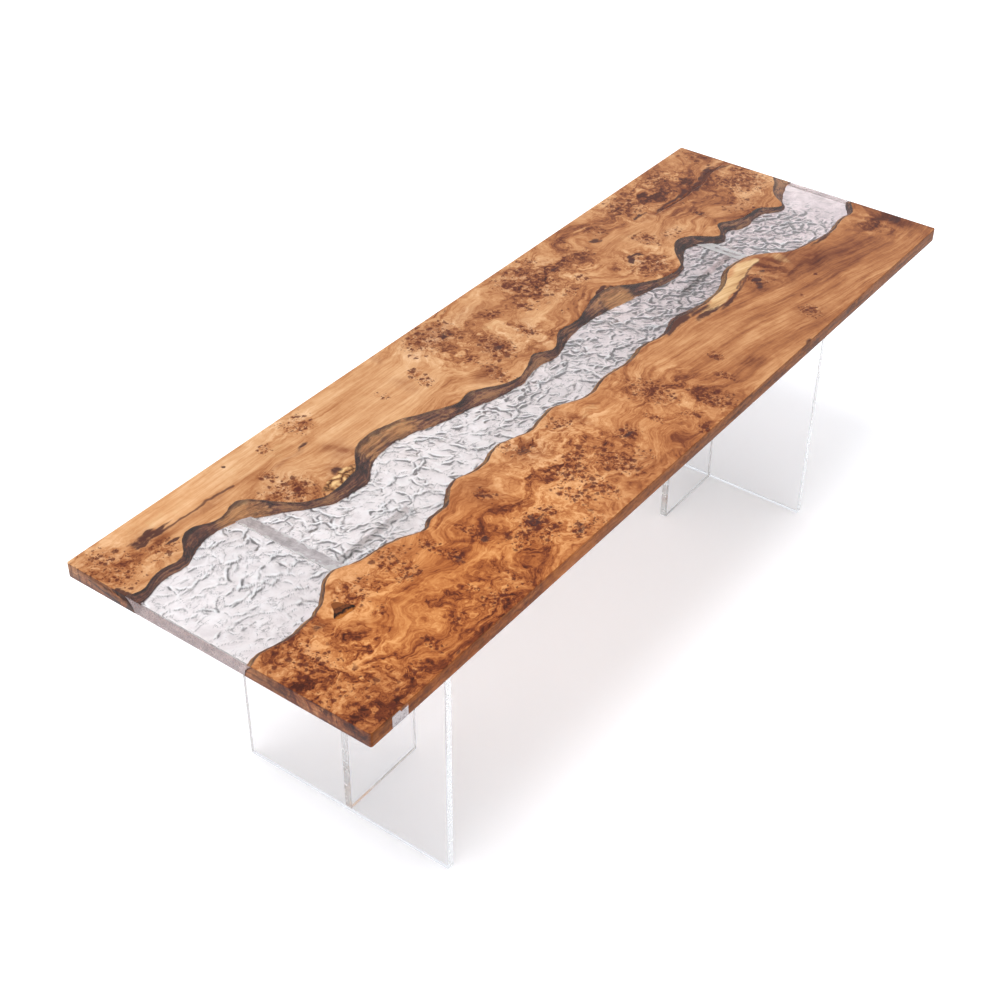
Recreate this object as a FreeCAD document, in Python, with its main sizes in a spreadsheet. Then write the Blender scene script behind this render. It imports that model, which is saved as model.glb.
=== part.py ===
"""River table: two live-edge burl slabs joined by a clear resin river, on two clear T pedestals.

Millimetres. +X runs along the table to its far end, +Y to the left slab, +Z up. The origin is on
the floor, under the middle of the top.
"""
import FreeCAD, Part
import Sketcher
import os

from FreeCAD import Vector

# Driving dimensions
SIZES = {
    "table_length": 2400,
    "table_width": 815,
    "table_height": 750,
    "top_thickness": 38,
    "corner_radius": 6,
    "arris_radius": 2.5,
    "river_width": 330,
    "bark_belly": 5,
    "crack_offset": 244,
    "crack_width": 12,
    "crack_depth": 14,
    "knot_pocket_distance": 232,
    "knot_pocket_offset": -146,
    "knot_pocket_size": 46,
    "knot_pocket_depth": 12,
    "edge_void_distance": 62,
    "edge_void_length": 47,
    "edge_void_depth": 16,
    "panel_thickness": 20,
    "panel_bevel": 1,
    "cross_panel_width": 600,
    "stem_length": 240,
    "near_pedestal_inset": 327,
    "far_pedestal_inset": 430,
    "pedestal_offset": -22,
    "bar_overhang": 50,
    "bar_width": 32,
    "bar_thickness": 6,
    "bar_end_radius": 3,
    "bar_clearance": 0.5,
    "screw_cover": 12,
    "screw_diameter": 4.5,
    "screw_head_diameter": 9,
    "screw_tip_length": 5,
    "screw_hole_clearance": 0.25,
    "screw_end_distance": 12,
    "screw_spacing": 24,
}

# How far a cutting solid runs past the face that it cuts
CUT_MARGIN = 5.0

# Live edges: thousandths of the table length from the near end, then the offset from the centre
# line at the top face and at the underside, in parts of which the river's greatest width has
# RIVER_PARTS. Both edges run a little past the ends of the table.
RIVER_PARTS = 330
LEFT_BANK = [
    (-10, 262, 225), (20, 222, 212), (38, 236, 224), (68, 236, 219), (82, 270, 234),
    (102, 279, 247), (116, 261, 247), (142, 269, 226), (158, 256, 196), (174, 190, 170),
    (199, 133, 122), (235, 132, 102), (253, 145, 104), (270, 184, 132), (290, 202, 148),
    (328, 191, 144), (374, 138, 106), (397, 119, 97), (414, 124, 82), (440, 90, 67),
    (472, 71, 60), (495, 90, 71), (512, 98, 66), (526, 75, 61), (556, 109, 80),
    (580, 104, 89), (625, 127, 84), (650, 136, 71), (665, 127, 62), (690, 82, 51),
    (733, 37, 30), (752, 44, 36), (775, 95, 65), (792, 118, 86), (807, 114, 78),
    (822, 80, 48), (832, 46, 28), (857, 77, 47), (875, 57, 25), (905, 40, 25),
    (922, 31, 16), (942, -9, -14), (953, 22, 0), (985, 75, 40), (1010, 120, 52),
]
RIGHT_BANK = [
    (-10, -124, -104), (6, -105, -86), (16, -99, -84), (32, -109, -93), (67, -111, -97),
    (90, -100, -86), (104, -79, -66), (118, -56, -44), (131, -49, -36), (146, -65, -50),
    (180, -81, -66), (212, -108, -92), (222, -117, -104), (234, -105, -88), (260, -100, -84),
    (279, -71, -58), (297, -60, -48), (320, -76, -60), (362, -59, -46), (403, -84, -70),
    (418, -77, -64), (454, -80, -64), (470, -101, -86), (495, -107, -94), (522, -96, -82),
    (557, -107, -92), (592, -95, -80), (620, -108, -94), (660, -91, -72), (693, -112, -90),
    (720, -111, -96), (752, -97, -80), (777, -71, -54), (800, -73, -58), (825, -91, -76),
    (843, -135, -118), (864, -165, -150), (886, -175, -160), (918, -192, -178), (961, -181, -168),
    (975, -185, -170), (990, -167, -150), (1010, -138, -122),
]

# Crack in the left slab: thousandths of the table length, then its sway to the side and half its
# width there, both in percent of its greatest width
CRACK = [
    (830, 15, 0), (858, -35, 17), (880, -75, 21), (900, -67, 25), (917, -25, 33),
    (932, -50, 33), (946, 33, 50), (968, 83, 33), (991, 58, 0),
]

# Hollow in the right slab beside the river, round its middle, in percent of its size
KNOT_POCKET = [
    (6, 72), (16, 66), (34, 20), (49, -12), (45, -24), (-10, -25), (-62, -17), (-69, -7), (-36, 32),
]

# Chipped hollow in the right slab's long side: percent of its length, then its depth below the
# top in percent of the top's thickness. From its ends it runs down and out at the underside.
EDGE_VOID = [(0, 18), (47, 13), (57, 32), (100, 29)]

doc = FreeCAD.newDocument("river_table")


def make_sheet():
    """Put the driving dimensions into a spreadsheet, one named cell each."""
    cells = doc.addObject("Spreadsheet::Sheet", "Sizes")
    for row, (alias, value) in enumerate(SIZES.items(), start=1):
        cells.set(f"A{row}", alias)
        cells.set(f"B{row}", str(value))
        cells.setAlias(f"B{row}", alias)
    doc.recompute()
    return cells


sheet = make_sheet()


def size(alias):
    return float(sheet.get(alias))


def bind(target, **expressions):
    """Tie properties of an object to the spreadsheet; x, y and z stand for its place."""
    places = {"x": "Placement.Base.x", "y": "Placement.Base.y", "z": "Placement.Base.z"}
    for name, expression in expressions.items():
        target.setExpression(places.get(name, name), expression)


# Heights, lengths and places along the table that several pieces share
UNDERSIDE = "(Sizes.table_height - Sizes.top_thickness)"
BAR_LENGTH = "(Sizes.cross_panel_width + 2 * Sizes.bar_overhang)"
SCREW_LENGTH = "(Sizes.top_thickness - Sizes.screw_cover)"
PEDESTALS = {
    "near": ("(-Sizes.table_length / 2 + Sizes.near_pedestal_inset + Sizes.panel_thickness / 2)", 1),
    "far": ("(Sizes.table_length / 2 - Sizes.far_pedestal_inset - Sizes.panel_thickness / 2)", -1),
}


def plate(label, length, width, thickness):
    """A body with a centred rectangle, length along X and width along Y, padded upwards."""
    body = doc.addObject("PartDesign::Body", label)
    outline = body.newObject("Sketcher::SketchObject", label + "_outline")
    floor_plane = next(f for f in body.Origin.OriginFeatures if f.Role == "XY_Plane")
    outline.AttachmentSupport = (floor_plane, [""])
    outline.MapMode = "FlatFace"
    corners = [Vector(-1, -1), Vector(1, -1), Vector(1, 1), Vector(-1, 1)]
    for start, end in zip(corners, corners[1:] + corners[:1]):
        outline.addGeometry(Part.LineSegment(start, end), False)
    constraint = Sketcher.Constraint
    for line in range(4):
        outline.addConstraint(constraint("Coincident", line, 2, (line + 1) % 4, 1))
    for line, direction in enumerate(["Horizontal", "Vertical", "Horizontal", "Vertical"]):
        outline.addConstraint(constraint(direction, line))
    outline.addConstraint(constraint("Symmetric", 0, 1, 2, 1, -1, 1))
    for line, kind, name, expression in (
        (0, "DistanceX", "along", length),
        (1, "DistanceY", "across", width),
    ):
        index = outline.addConstraint(constraint(kind, line, 1, line, 2, 2.0))
        outline.renameConstraint(index, name)
        outline.setExpression("Constraints." + name, expression)
    pad = body.newObject("PartDesign::Pad", label + "_pad")
    pad.Profile = outline
    bind(pad, Length=thickness)
    doc.recompute()
    return body


def dress(body, kind, amount, expression, chosen):
    """Round or bevel the edges of a body that the test picks by their box."""
    base = body.Tip
    edges = enumerate(base.Shape.Edges, start=1)
    names = [f"Edge{number}" for number, edge in edges if chosen(edge.BoundBox)]
    finish = body.newObject("PartDesign::" + kind, f"{body.Name}_{kind}")
    finish.Base = (base, names)
    finish.setExpression(amount, expression)
    doc.recompute()


def is_upright(box):
    return box.ZLength > max(box.XLength, box.YLength)


def cut(label, base, tools):
    """Take the tools away from the base one after another; the last cut gets the label."""
    result = base
    for number, tool in enumerate(tools, start=1):
        step = doc.addObject("Part::Cut", f"{label}_cut_{number}")
        step.Base = result
        step.Tool = tool
        result = step
    result.Label = label
    return result


def common(name, base, tool):
    shared = doc.addObject("Part::Common", name)
    shared.Base = base
    shared.Tool = tool
    return shared


def feature(name, shape):
    holder = doc.addObject("Part::Feature", name)
    holder.Shape = shape
    return holder


def along(thousandths):
    """Place along X of a share of the table's length, counted from its near end."""
    return size("table_length") * (thousandths / 1000.0 - 0.5)


def make_board():
    """The whole top before it is divided: a flat board with rounded corners and eased arrises."""
    board = plate("board", "Sizes.table_length", "Sizes.table_width", "Sizes.top_thickness")
    bind(board, z=UNDERSIDE)
    dress(board, "Fillet", "Radius", "Sizes.corner_radius", is_upright)
    dress(board, "Fillet", "Radius", "Sizes.arris_radius", lambda box: box.ZLength < size("arris_radius"))
    return board


def bank_wire(bank, side, height, share, belly):
    """Closed outline at one height: the live edge, then round the outside of its slab."""
    part = size("river_width") / RIVER_PARTS
    points = []
    for station, top, bottom in bank:
        offset = part * (bottom + (top - bottom) * share) - side * belly
        points.append(Vector(along(station), offset, height))
    edge = Part.BSplineCurve()
    edge.interpolate(Points=points, Parameters=[float(station) for station, top, bottom in bank])
    outside = side * (size("table_width") / 2 + CUT_MARGIN)
    corners = [
        points[-1],
        Vector(points[-1].x, outside, height),
        Vector(points[0].x, outside, height),
        points[0],
    ]
    lines = [Part.LineSegment(a, b).toShape() for a, b in zip(corners, corners[1:])]
    return Part.Wire([edge.toShape()] + lines)


def slab_region(name, bank, side):
    """The space of one slab: its live edge leans and swells between the underside and the top."""
    top = size("table_height")
    underside = top - size("top_thickness")
    middle = (top + underside) / 2
    wires = [
        bank_wire(bank, side, underside, 0.0, 0.0),
        bank_wire(bank, side, middle, 0.5, size("bark_belly")),
        bank_wire(bank, side, top, 1.0, 0.0),
    ]
    return feature(name, Part.makeLoft(wires, True, True))


def poured_pocket(label, edges, depth):
    """Resin poured into a hollow of the top face: a flat outline taken straight down."""
    outline = feature(label + "_outline", Part.Face(Part.Wire(edges)))
    pour = doc.addObject("Part::Extrusion", label)
    pour.Base = outline
    pour.DirMode = "Custom"
    pour.Dir = Vector(0, 0, -1)
    pour.Solid = True
    pour.setExpression("LengthFwd", depth)
    return pour


def make_crack_fill():
    """A long crack, pointed at both ends, between two smooth curves."""
    top = size("table_height")
    percent = size("crack_width") / 100
    edges = []
    for side in (1, -1):
        points = []
        for station, sway, half in CRACK:
            offset = size("crack_offset") + percent * (sway + side * half)
            points.append(Vector(along(station), offset, top))
        curve = Part.BSplineCurve()
        curve.interpolate(points)
        edges.append(curve.toShape())
    return poured_pocket("crack_fill", edges, "Sizes.crack_depth")


def make_knot_pocket_fill():
    """A three-cornered hollow beside the river."""
    percent = size("knot_pocket_size") / 100
    along_table = size("knot_pocket_distance") - size("table_length") / 2
    middle = Vector(along_table, size("knot_pocket_offset"), size("table_height"))
    points = [middle + Vector(percent * x, percent * y, 0) for x, y in KNOT_POCKET]
    curve = Part.BSplineCurve()
    curve.interpolate(Points=points, PeriodicFlag=True)
    return poured_pocket("knot_pocket_fill", [curve.toShape()], "Sizes.knot_pocket_depth")


def make_edge_void():
    """The chipped hollow in the long side, from outside the board to its depth."""
    side = -size("table_width") / 2 - CUT_MARGIN
    start = size("edge_void_distance") - size("table_length") / 2
    top = size("table_height")
    foot = top - size("top_thickness") - CUT_MARGIN
    chips = []
    for share, depth in EDGE_VOID:
        x = start + size("edge_void_length") * share / 100
        chips.append(Vector(x, side, top - size("top_thickness") * depth / 100))
    corners = [Vector(chips[0].x, side, foot)] + chips + [Vector(chips[-1].x, side, foot)]
    face = Part.Face(Part.makePolygon(corners + corners[:1]))
    return feature("edge_void", face.extrude(Vector(0, CUT_MARGIN + size("edge_void_depth"), 0)))


def make_bar_recess(name, centre):
    """The space milled across the underside for one mounting bar, with its clearance."""
    recess = doc.addObject("Part::Box", name + "_bar_recess")
    width = "(Sizes.bar_width + 2 * Sizes.bar_clearance)"
    length = f"({BAR_LENGTH} + 2 * Sizes.bar_clearance)"
    bind(recess, Length=width, Width=length, Height=f"Sizes.bar_thickness + {CUT_MARGIN}")
    bind(recess, x=f"{centre} - {width} / 2", y=f"Sizes.pedestal_offset - {length} / 2")
    bind(recess, z=f"{UNDERSIDE} - {CUT_MARGIN}")
    return recess


def turned(name, lower, upper, height, x, y, z):
    """A cone or, with equal radii, a cylinder."""
    if lower == upper:
        solid = doc.addObject("Part::Cylinder", name)
        bind(solid, Radius=lower, Height=height)
    else:
        solid = doc.addObject("Part::Cone", name)
        solid.setExpression("Radius1", lower)
        solid.setExpression("Radius2", upper)
        solid.setExpression("Height", height)
    bind(solid, x=x, y=y, z=z)
    return solid


def make_screw(name, x, y, clearance):
    """A countersunk wood screw, point up, its head flush with the underside of the bar.

    With a clearance on the shank it is the hole that the bar has for it.
    """
    shank = f"(Sizes.screw_diameter / 2 + {clearance})"
    head = "(Sizes.screw_head_diameter / 2)"
    sink = f"({head} - {shank})"
    body = f"({SCREW_LENGTH} - Sizes.screw_tip_length - {sink})"
    screw = doc.addObject("Part::MultiFuse", name)
    screw.Shapes = [
        turned(name + "_head", head, shank, sink, x, y, UNDERSIDE),
        turned(name + "_shank", shank, shank, body, x, y, f"{UNDERSIDE} + {sink}"),
        turned(name + "_tip", shank, "0", "Sizes.screw_tip_length", x, y, f"{UNDERSIDE} + {sink} + {body}"),
    ]
    return screw


def screw_places():
    """Two screws past each end of the cross panel, in line along each bar."""
    for name, (centre, inward) in PEDESTALS.items():
        for side in (1, -1):
            for row in (0, 1):
                reach = f"({BAR_LENGTH} / 2 - Sizes.screw_end_distance - {row} * Sizes.screw_spacing)"
                yield name, centre, f"Sizes.pedestal_offset + {side} * {reach}"


def make_bar(name, centre, holes):
    """A flat metal bar with rounded corners and a countersunk hole for each screw."""
    blank = plate(name + "_bar_blank", "Sizes.bar_width", BAR_LENGTH, "Sizes.bar_thickness")
    bind(blank, x=centre, y="Sizes.pedestal_offset", z=UNDERSIDE)
    dress(blank, "Fillet", "Radius", "Sizes.bar_end_radius", is_upright)
    return cut(name + "_mounting_bar", blank, holes)


def make_cross_panel(name, centre):
    """Clear panel across the table, from the floor to the mounting bar, all edges bevelled."""
    panel = plate(name + "_cross_panel", "Sizes.panel_thickness", "Sizes.cross_panel_width", UNDERSIDE)
    bind(panel, x=centre, y="Sizes.pedestal_offset")
    dress(panel, "Chamfer", "Size", "Sizes.panel_bevel", lambda box: True)
    return panel


def make_stem_panel(name, centre, inward):
    """Clear panel from the middle of a cross panel towards the centre of the table.

    The edges at the bonded joint stay sharp, and the others are bevelled.
    """
    panel = plate(name + "_stem_panel", "Sizes.stem_length", "Sizes.panel_thickness", UNDERSIDE)
    reach = f"{inward} * (Sizes.panel_thickness + Sizes.stem_length) / 2"
    bind(panel, x=f"{centre} + {reach}", y="Sizes.pedestal_offset")
    joint = -inward * size("stem_length") / 2
    bevel = size("panel_bevel")
    dress(panel, "Chamfer", "Size", "Sizes.panel_bevel", lambda box: abs(box.Center.x - joint) > bevel)
    return panel


def make_table():
    """All pieces, in the order of their making."""
    board = make_board()
    left_region = slab_region("left_region", LEFT_BANK, 1)
    right_region = slab_region("right_region", RIGHT_BANK, -1)
    edge_void = make_edge_void()
    crack_fill = make_crack_fill()
    knot_pocket_fill = make_knot_pocket_fill()
    recesses = [make_bar_recess(name, centre) for name, (centre, inward) in PEDESTALS.items()]

    screws = []
    holes = {name: [] for name in PEDESTALS}
    for number, (name, x, y) in enumerate(screw_places(), start=1):
        screws.append(make_screw(f"screw_{number}", x, y, "0"))
        holes[name].append(make_screw(f"bar_hole_{number}", x, y, "Sizes.screw_hole_clearance"))
    screw_group = doc.addObject("Part::Compound", "bar_screws")
    screw_group.Links = screws

    left_board = common("left_board", board, left_region)
    right_board = common("right_board", board, right_region)
    pieces = [
        cut("left_slab", left_board, recesses + [crack_fill] + screws),
        cut("right_slab", right_board, recesses + [knot_pocket_fill, edge_void] + screws),
        cut("river_casting", board, [left_region, right_region] + recesses + screws),
        crack_fill,
        knot_pocket_fill,
        common("edge_void_fill", board, edge_void),
        screw_group,
    ]
    for name, (centre, inward) in PEDESTALS.items():
        pieces.append(make_bar(name, centre, holes[name]))
        pieces.append(make_cross_panel(name, centre))
        pieces.append(make_stem_panel(name, centre, inward))
    return pieces


def check(pieces):
    """Stop if an object failed or a piece is empty or not valid."""
    for item in doc.Objects:
        if {"Invalid", "Error"} & set(item.State):
            raise RuntimeError(f"{item.Label} failed: {item.State}")
    for piece in pieces:
        if piece.Shape.isNull() or not piece.Shape.Solids or not piece.Shape.isValid():
            raise RuntimeError(f"{piece.Label} has no valid solid")


pieces = make_table()
doc.recompute()
check(pieces)
os.makedirs("parts", exist_ok=True)
for piece in pieces:
    piece.Shape.exportStep(f"parts/{piece.Label}.step")
    print(f"{piece.Label}: {len(piece.Shape.Solids)} solids, {piece.Shape.Volume / 1000:.2f} cm3")
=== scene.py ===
"""Looks of the river table: two burl slabs, the poured river between them and the clear pedestals.

Metres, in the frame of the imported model: +X along the table to its far end, +Y to the left slab,
+Z up. Places of figure on the wood are in millimetres, as they are read on the table top.
"""

import math

import bpy
import numpy as np
from mathutils import Matrix, Vector, noise


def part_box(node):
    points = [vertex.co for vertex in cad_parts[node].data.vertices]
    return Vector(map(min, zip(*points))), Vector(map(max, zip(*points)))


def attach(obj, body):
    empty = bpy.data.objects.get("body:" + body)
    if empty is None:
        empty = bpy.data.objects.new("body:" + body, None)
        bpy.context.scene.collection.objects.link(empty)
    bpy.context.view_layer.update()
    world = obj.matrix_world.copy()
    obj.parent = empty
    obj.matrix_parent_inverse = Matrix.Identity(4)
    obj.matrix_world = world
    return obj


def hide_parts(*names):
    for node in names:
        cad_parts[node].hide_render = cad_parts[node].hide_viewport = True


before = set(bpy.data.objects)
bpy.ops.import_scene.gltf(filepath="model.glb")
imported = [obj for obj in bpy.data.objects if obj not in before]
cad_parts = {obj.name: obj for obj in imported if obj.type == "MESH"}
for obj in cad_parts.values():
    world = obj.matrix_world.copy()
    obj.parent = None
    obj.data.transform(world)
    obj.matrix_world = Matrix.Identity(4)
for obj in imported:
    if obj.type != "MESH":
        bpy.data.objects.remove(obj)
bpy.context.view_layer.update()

MM = 0.001

# Outline of the top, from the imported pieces
river_low, river_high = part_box("river_casting")
NEAR_END, FAR_END = river_low.x, river_high.x
UNDERSIDE, TOP = river_low.z, river_high.z
LEFT_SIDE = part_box("left_slab")[1].y
RIGHT_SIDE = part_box("right_slab")[0].y
# Rounding of the edges, and of the corners seen from above
ARRIS = 2.5 * MM
CORNER = 6 * MM

# Camera, at the photograph's viewing angle
CAMERA_PLACE = Vector((-2.826, -1.883, 2.9855))
CAMERA_HEADING = math.radians(53.85)
CAMERA_PITCH = math.radians(37.75)
CAMERA_ROLL = math.radians(0.573)
CAMERA_LENS = 60.92
CAMERA_SENSOR = 36.0

# The dome's grey at shares of the way up, and the soft lamp, which shines from over the near end
DOME = [(0.0, 0.98), (0.20, 0.95), (0.34, 0.82), (0.48, 0.58), (0.72, 0.58), (0.86, 1.0), (1.0, 1.05)]
LAMP_PLACE = Vector((-1.3, 0.2, 4.6))
LAMP_AIM = Vector((0, 0, 0.6))
LAMP_SPREAD = math.radians(30)
LAMP_POWER = 1.9
FLOOR_SIZE = 300

# Fineness of the new meshes: steps along the table, and rows across each face
TOP_STEP = 3 * MM
BANK_ROWS = 10
SLAB_TOP_ROWS = 72
SLAB_UNDERSIDE_ROWS = 12
RIVER_TOP_ROWS = 6
RIVER_UNDERSIDE_ROWS = 88
# Points closer than this are one point
MERGE_REACH = 0.01 * MM

# The river's banks lie to either side of this line along the table
RIVER_MIDDLE = -25 * MM
# The river's sides lie this deep in the wood, so that the resin wets the live edge
BANK_SINK = 0.6 * MM
# Relief of the bark: its depth, and how many lumps to a metre, broad and fine
BARK_RELIEF = 2.2 * MM
BARK_LUMPS = (55, 140)
# Small ragged bays of the live edges: how deep, and how many to a metre
BANK_BAYS = [(3.0 * MM, 32), (1.6 * MM, 85)]

# Crinkle of the river's underside, which fades out towards the far end and close to both ends.
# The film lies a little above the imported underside.
CRINKLE_HEIGHT = 5 * MM
CRINKLE_END = 1.19
CRINKLE_FADE = 150 * MM
END_FADE = 8 * MM
FILM_LIFT = 0.2 * MM

# Folds of the crumpled film, strewn about this far apart: degrees that they lean by, with a slow
# drift and a scatter, half lengths and bow in millimetres, and the sharp turns between their parts
CREASE_SEED = 11
CREASE_SPACING = 28 * MM
CREASE_LEAN = -25
LEAN_DRIFT = 60
LEAN_SCATTER = 30
FOLD_HALF_LENGTH = (10, 32)
FOLD_BOW = 9
FOLD_PARTS = 3
FOLD_TURN = (25, 75)
# How the folds change along the table: two places, and the factors at them
FOLD_SIZE = (-0.75, 0.35), (1.0, 0.8)
FOLD_STRENGTH = (-0.9, 0.2), (0.94, 1.06)
FOLD_WIDENING = (-0.6, 0.5), (1.0, 1.5)
RIDGE_STRENGTH = (-0.6, 0.5), (1.0, 0.6)
# Millimetres across a fold: its painted hollow shade is steep on one side and gentle on the other, and a
# painted highlight runs along the ridge beside the steep side
STEEP_SIDE = 3
GENTLE_SIDE = 12
RIDGE_OFFSET = 2.5
RIDGE_WIDTH = 2.6
# Folds wander by this much, in so many waves to a metre
FOLD_WANDER = 5 * MM
FOLD_WAVES = 70
# The smooth corner of the film: how far its middle lies in from the river's rightmost point, how
# far it reaches, and the share of the folds' strength left in its middle
SMOOTH_OFFSET = 90 * MM
SMOOTH_REACH = 220 * MM
SMOOTH_FOLDS = 0.35

BARS = ("near_mounting_bar", "far_mounting_bar")
BAR_CLEARANCE = 0.5 * MM
# The film's flat part reaches this far past a bar, and lies this deep below its top where it is clear
BAR_REACH = 0.55 * MM
BAR_BED = 0.1 * MM
# How far the cloudy film creeps in over the edges of each bar and from the right bank
BAR_SMEARS = (1.5 * MM, 12.5 * MM)
RIGHT_SMEAR = 30 * MM
SMEAR_WANDER = 8 * MM
SMEAR_LIFT = 0.3 * MM

# Acrylic panels: eased corners, ripples of the thin edges and the hair left at a bonded joint
PANEL_BEVEL = 1 * MM
PANEL_STEP = 8 * MM
EDGE_RIPPLE = 0.15 * MM
EDGE_LUMPS = (60, 150)
BOND_GAP = 0.2 * MM

# Figure of the wood: x, y, half length, half width in millimetres, and strength. Patches fade from
# their middles at one rate. Their outlines wander by millimetres, in so many waves to a metre.
PATCH_FALL = 0.7
FIGURE_SWAY = [(14, 16), (5, 55)]
# Clusters of burl eyes
EYE_PATCHES = [
    (-1160, 330, 55, 85, 0.55), (-1050, 278, 42, 32, 0.6), (-738, 280, 16, 16, 0.9),
    (-745, 205, 42, 40, 0.8), (-662, 357, 18, 16, 0.8), (-552, 362, 38, 40, 0.75),
    (-650, 140, 58, 26, 0.6), (-228, 270, 20, 17, 0.95), (-230, 230, 17, 17, 0.9),
    (-162, 326, 10, 14, 0.8), (-342, 278, 14, 22, 0.35), (-66, 345, 72, 50, 0.75),
    (-90, 202, 24, 34, 0.65), (-53, 158, 20, 14, 0.8), (-3, 190, 34, 50, 0.9), (-100, 115, 22, 40, 0.7),
    (92, 183, 20, 34, 0.85), (106, 284, 26, 22, 0.7), (190, 252, 26, 34, 0.55), (285, 310, 66, 76, 0.7),
    (372, 378, 26, 26, 0.7), (378, 295, 28, 18, 0.8), (330, 195, 26, 17, 0.75), (392, 210, 19, 21, 0.75),
    (220, 147, 22, 9, 0.5), (360, 110, 30, 24, 0.7), (435, 296, 46, 9, 0.85), (522, 372, 16, 16, 0.7),
    (500, 290, 22, 40, 0.45), (625, 330, 26, 36, 0.5), (668, 185, 26, 40, 0.75), (560, 105, 46, 42, 0.75),
    (785, 340, 52, 46, 0.6), (885, 300, 13, 15, 0.4), (975, 346, 44, 36, 0.6), (735, 150, 32, 24, 0.5),
    (876, 145, 15, 30, 0.7), (925, 200, 22, 36, 0.35), (1120, 150, 78, 62, 0.65), (990, 80, 60, 40, 0.35),
    (1170, 330, 40, 70, 0.35), (-1135, -250, 75, 150, 0.36), (-1110, -180, 30, 60, 0.7),
    (-910, -125, 52, 32, 0.6), (-792, -118, 46, 30, 0.7), (-805, -170, 27, 24, 0.9),
    (-707, -150, 14, 28, 0.9), (-705, -212, 16, 22, 0.9), (-614, -200, 14, 45, 0.85),
    (-500, -140, 20, 22, 0.8), (-520, -292, 42, 47, 0.95), (-570, -295, 30, 23, 0.8),
    (-462, -283, 15, 20, 0.8), (-468, -378, 34, 25, 0.9), (-766, -310, 17, 17, 0.7),
    (-745, -368, 32, 26, 0.8), (-845, -345, 18, 18, 0.75), (-938, -345, 14, 24, 0.7),
    (-1005, -370, 24, 24, 0.6), (-925, -205, 22, 12, 0.6), (-680, -360, 26, 50, 0.4),
    (-328, -85, 24, 26, 0.6), (-182, -118, 28, 19, 0.8), (-320, -240, 46, 40, 0.75),
    (-325, -320, 28, 52, 0.8), (-228, -310, 30, 56, 0.95), (-265, -215, 30, 22, 0.7),
    (-385, -300, 22, 46, 0.8), (-120, -262, 26, 22, 0.85), (-30, -282, 13, 26, 0.85),
    (58, -215, 42, 58, 0.75), (118, -345, 30, 56, 0.8), (218, -322, 12, 28, 0.8),
    (283, -260, 16, 20, 0.85), (2, -390, 16, 16, 0.8), (30, -345, 18, 26, 0.5), (612, -345, 27, 24, 0.75),
    (665, -165, 26, 32, 0.8), (783, -262, 8, 10, 0.9), (662, -292, 10, 7, 0.9), (1110, -258, 28, 36, 0.6),
    (-410, -385, 20, 20, 0.7), (-160, -330, 24, 40, 0.4),
]
# Soft brown stains round the burls, along the crack and at the ends
WARM_PATCHES = [
    (-1040, 325, 45, 26, 0.8), (-745, 215, 60, 60, 0.5), (-66, 345, 80, 60, 0.8), (60, 335, 70, 32, 0.5),
    (-3, 190, 42, 60, 0.75), (-120, 130, 40, 26, 0.8), (50, 112, 70, 34, 0.5), (130, 205, 26, 20, 0.6),
    (285, 310, 74, 86, 0.85), (375, 310, 50, 60, 0.5), (100, 180, 34, 44, 0.5), (-272, 262, 16, 36, 0.6),
    (-235, 385, 10, 20, 0.6), (560, 115, 52, 54, 0.8), (625, 330, 30, 42, 0.5), (785, 340, 60, 56, 0.5),
    (975, 360, 56, 46, 0.6), (1120, 150, 90, 70, 0.5), (990, 80, 70, 50, 0.6), (1170, 330, 46, 80, 0.6),
    (876, 145, 22, 36, 0.5), (735, 150, 40, 30, 0.5), (450, 290, 70, 26, 0.5), (668, 185, 32, 46, 0.45),
    (850, 248, 70, 16, 1.8), (960, 238, 62, 22, 2.0), (1050, 243, 56, 19, 2.0), (1140, 252, 56, 15, 1.8),
    (-1160, 330, 60, 90, 0.45), (-622, 172, 26, 34, 0.7), (-576, 200, 32, 22, 1.1),
    (-563, 236, 30, 20, 0.7), (-900, 310, 110, 9, 0.7), (-660, 282, 60, 7, 0.7),
    (-1150, -260, 60, 150, 0.5), (-1010, -203, 60, 16, 0.7), (-1035, -142, 22, 16, 0.9),
    (-910, -120, 55, 36, 0.5), (-790, -120, 52, 34, 0.55), (-805, -170, 34, 30, 0.5),
    (-495, -125, 36, 60, 0.7), (-475, -222, 14, 24, 0.7), (-520, -290, 60, 60, 0.5),
    (-680, -360, 28, 56, 0.6), (-745, -365, 40, 34, 0.5), (-310, -130, 46, 40, 0.95),
    (-140, -130, 14, 60, 0.6), (-200, -120, 40, 40, 0.4), (-185, -355, 26, 44, 0.6),
    (55, -215, 48, 66, 0.55), (118, -345, 36, 62, 0.5), (312, -330, 16, 50, 0.55),
    (745, -130, 50, 46, 1.5), (735, -178, 40, 34, 1.1), (700, -215, 34, 30, 0.8),
    (835, -205, 66, 50, 1.2), (665, -170, 40, 40, 0.9), (1199, 270, 8, 150, 1.6),
    (1199, -300, 8, 110, 1.4), (-1199, -345, 9, 70, 1.0), (1110, -258, 34, 44, 0.7),
    (1175, -300, 30, 60, 0.95), (610, -345, 34, 30, 0.5), (-120, -262, 34, 30, 0.4),
    (-228, -310, 40, 64, 0.4), (-1075, -380, 50, 30, 0.7), (-1095, -345, 60, 46, 0.75),
]
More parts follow.
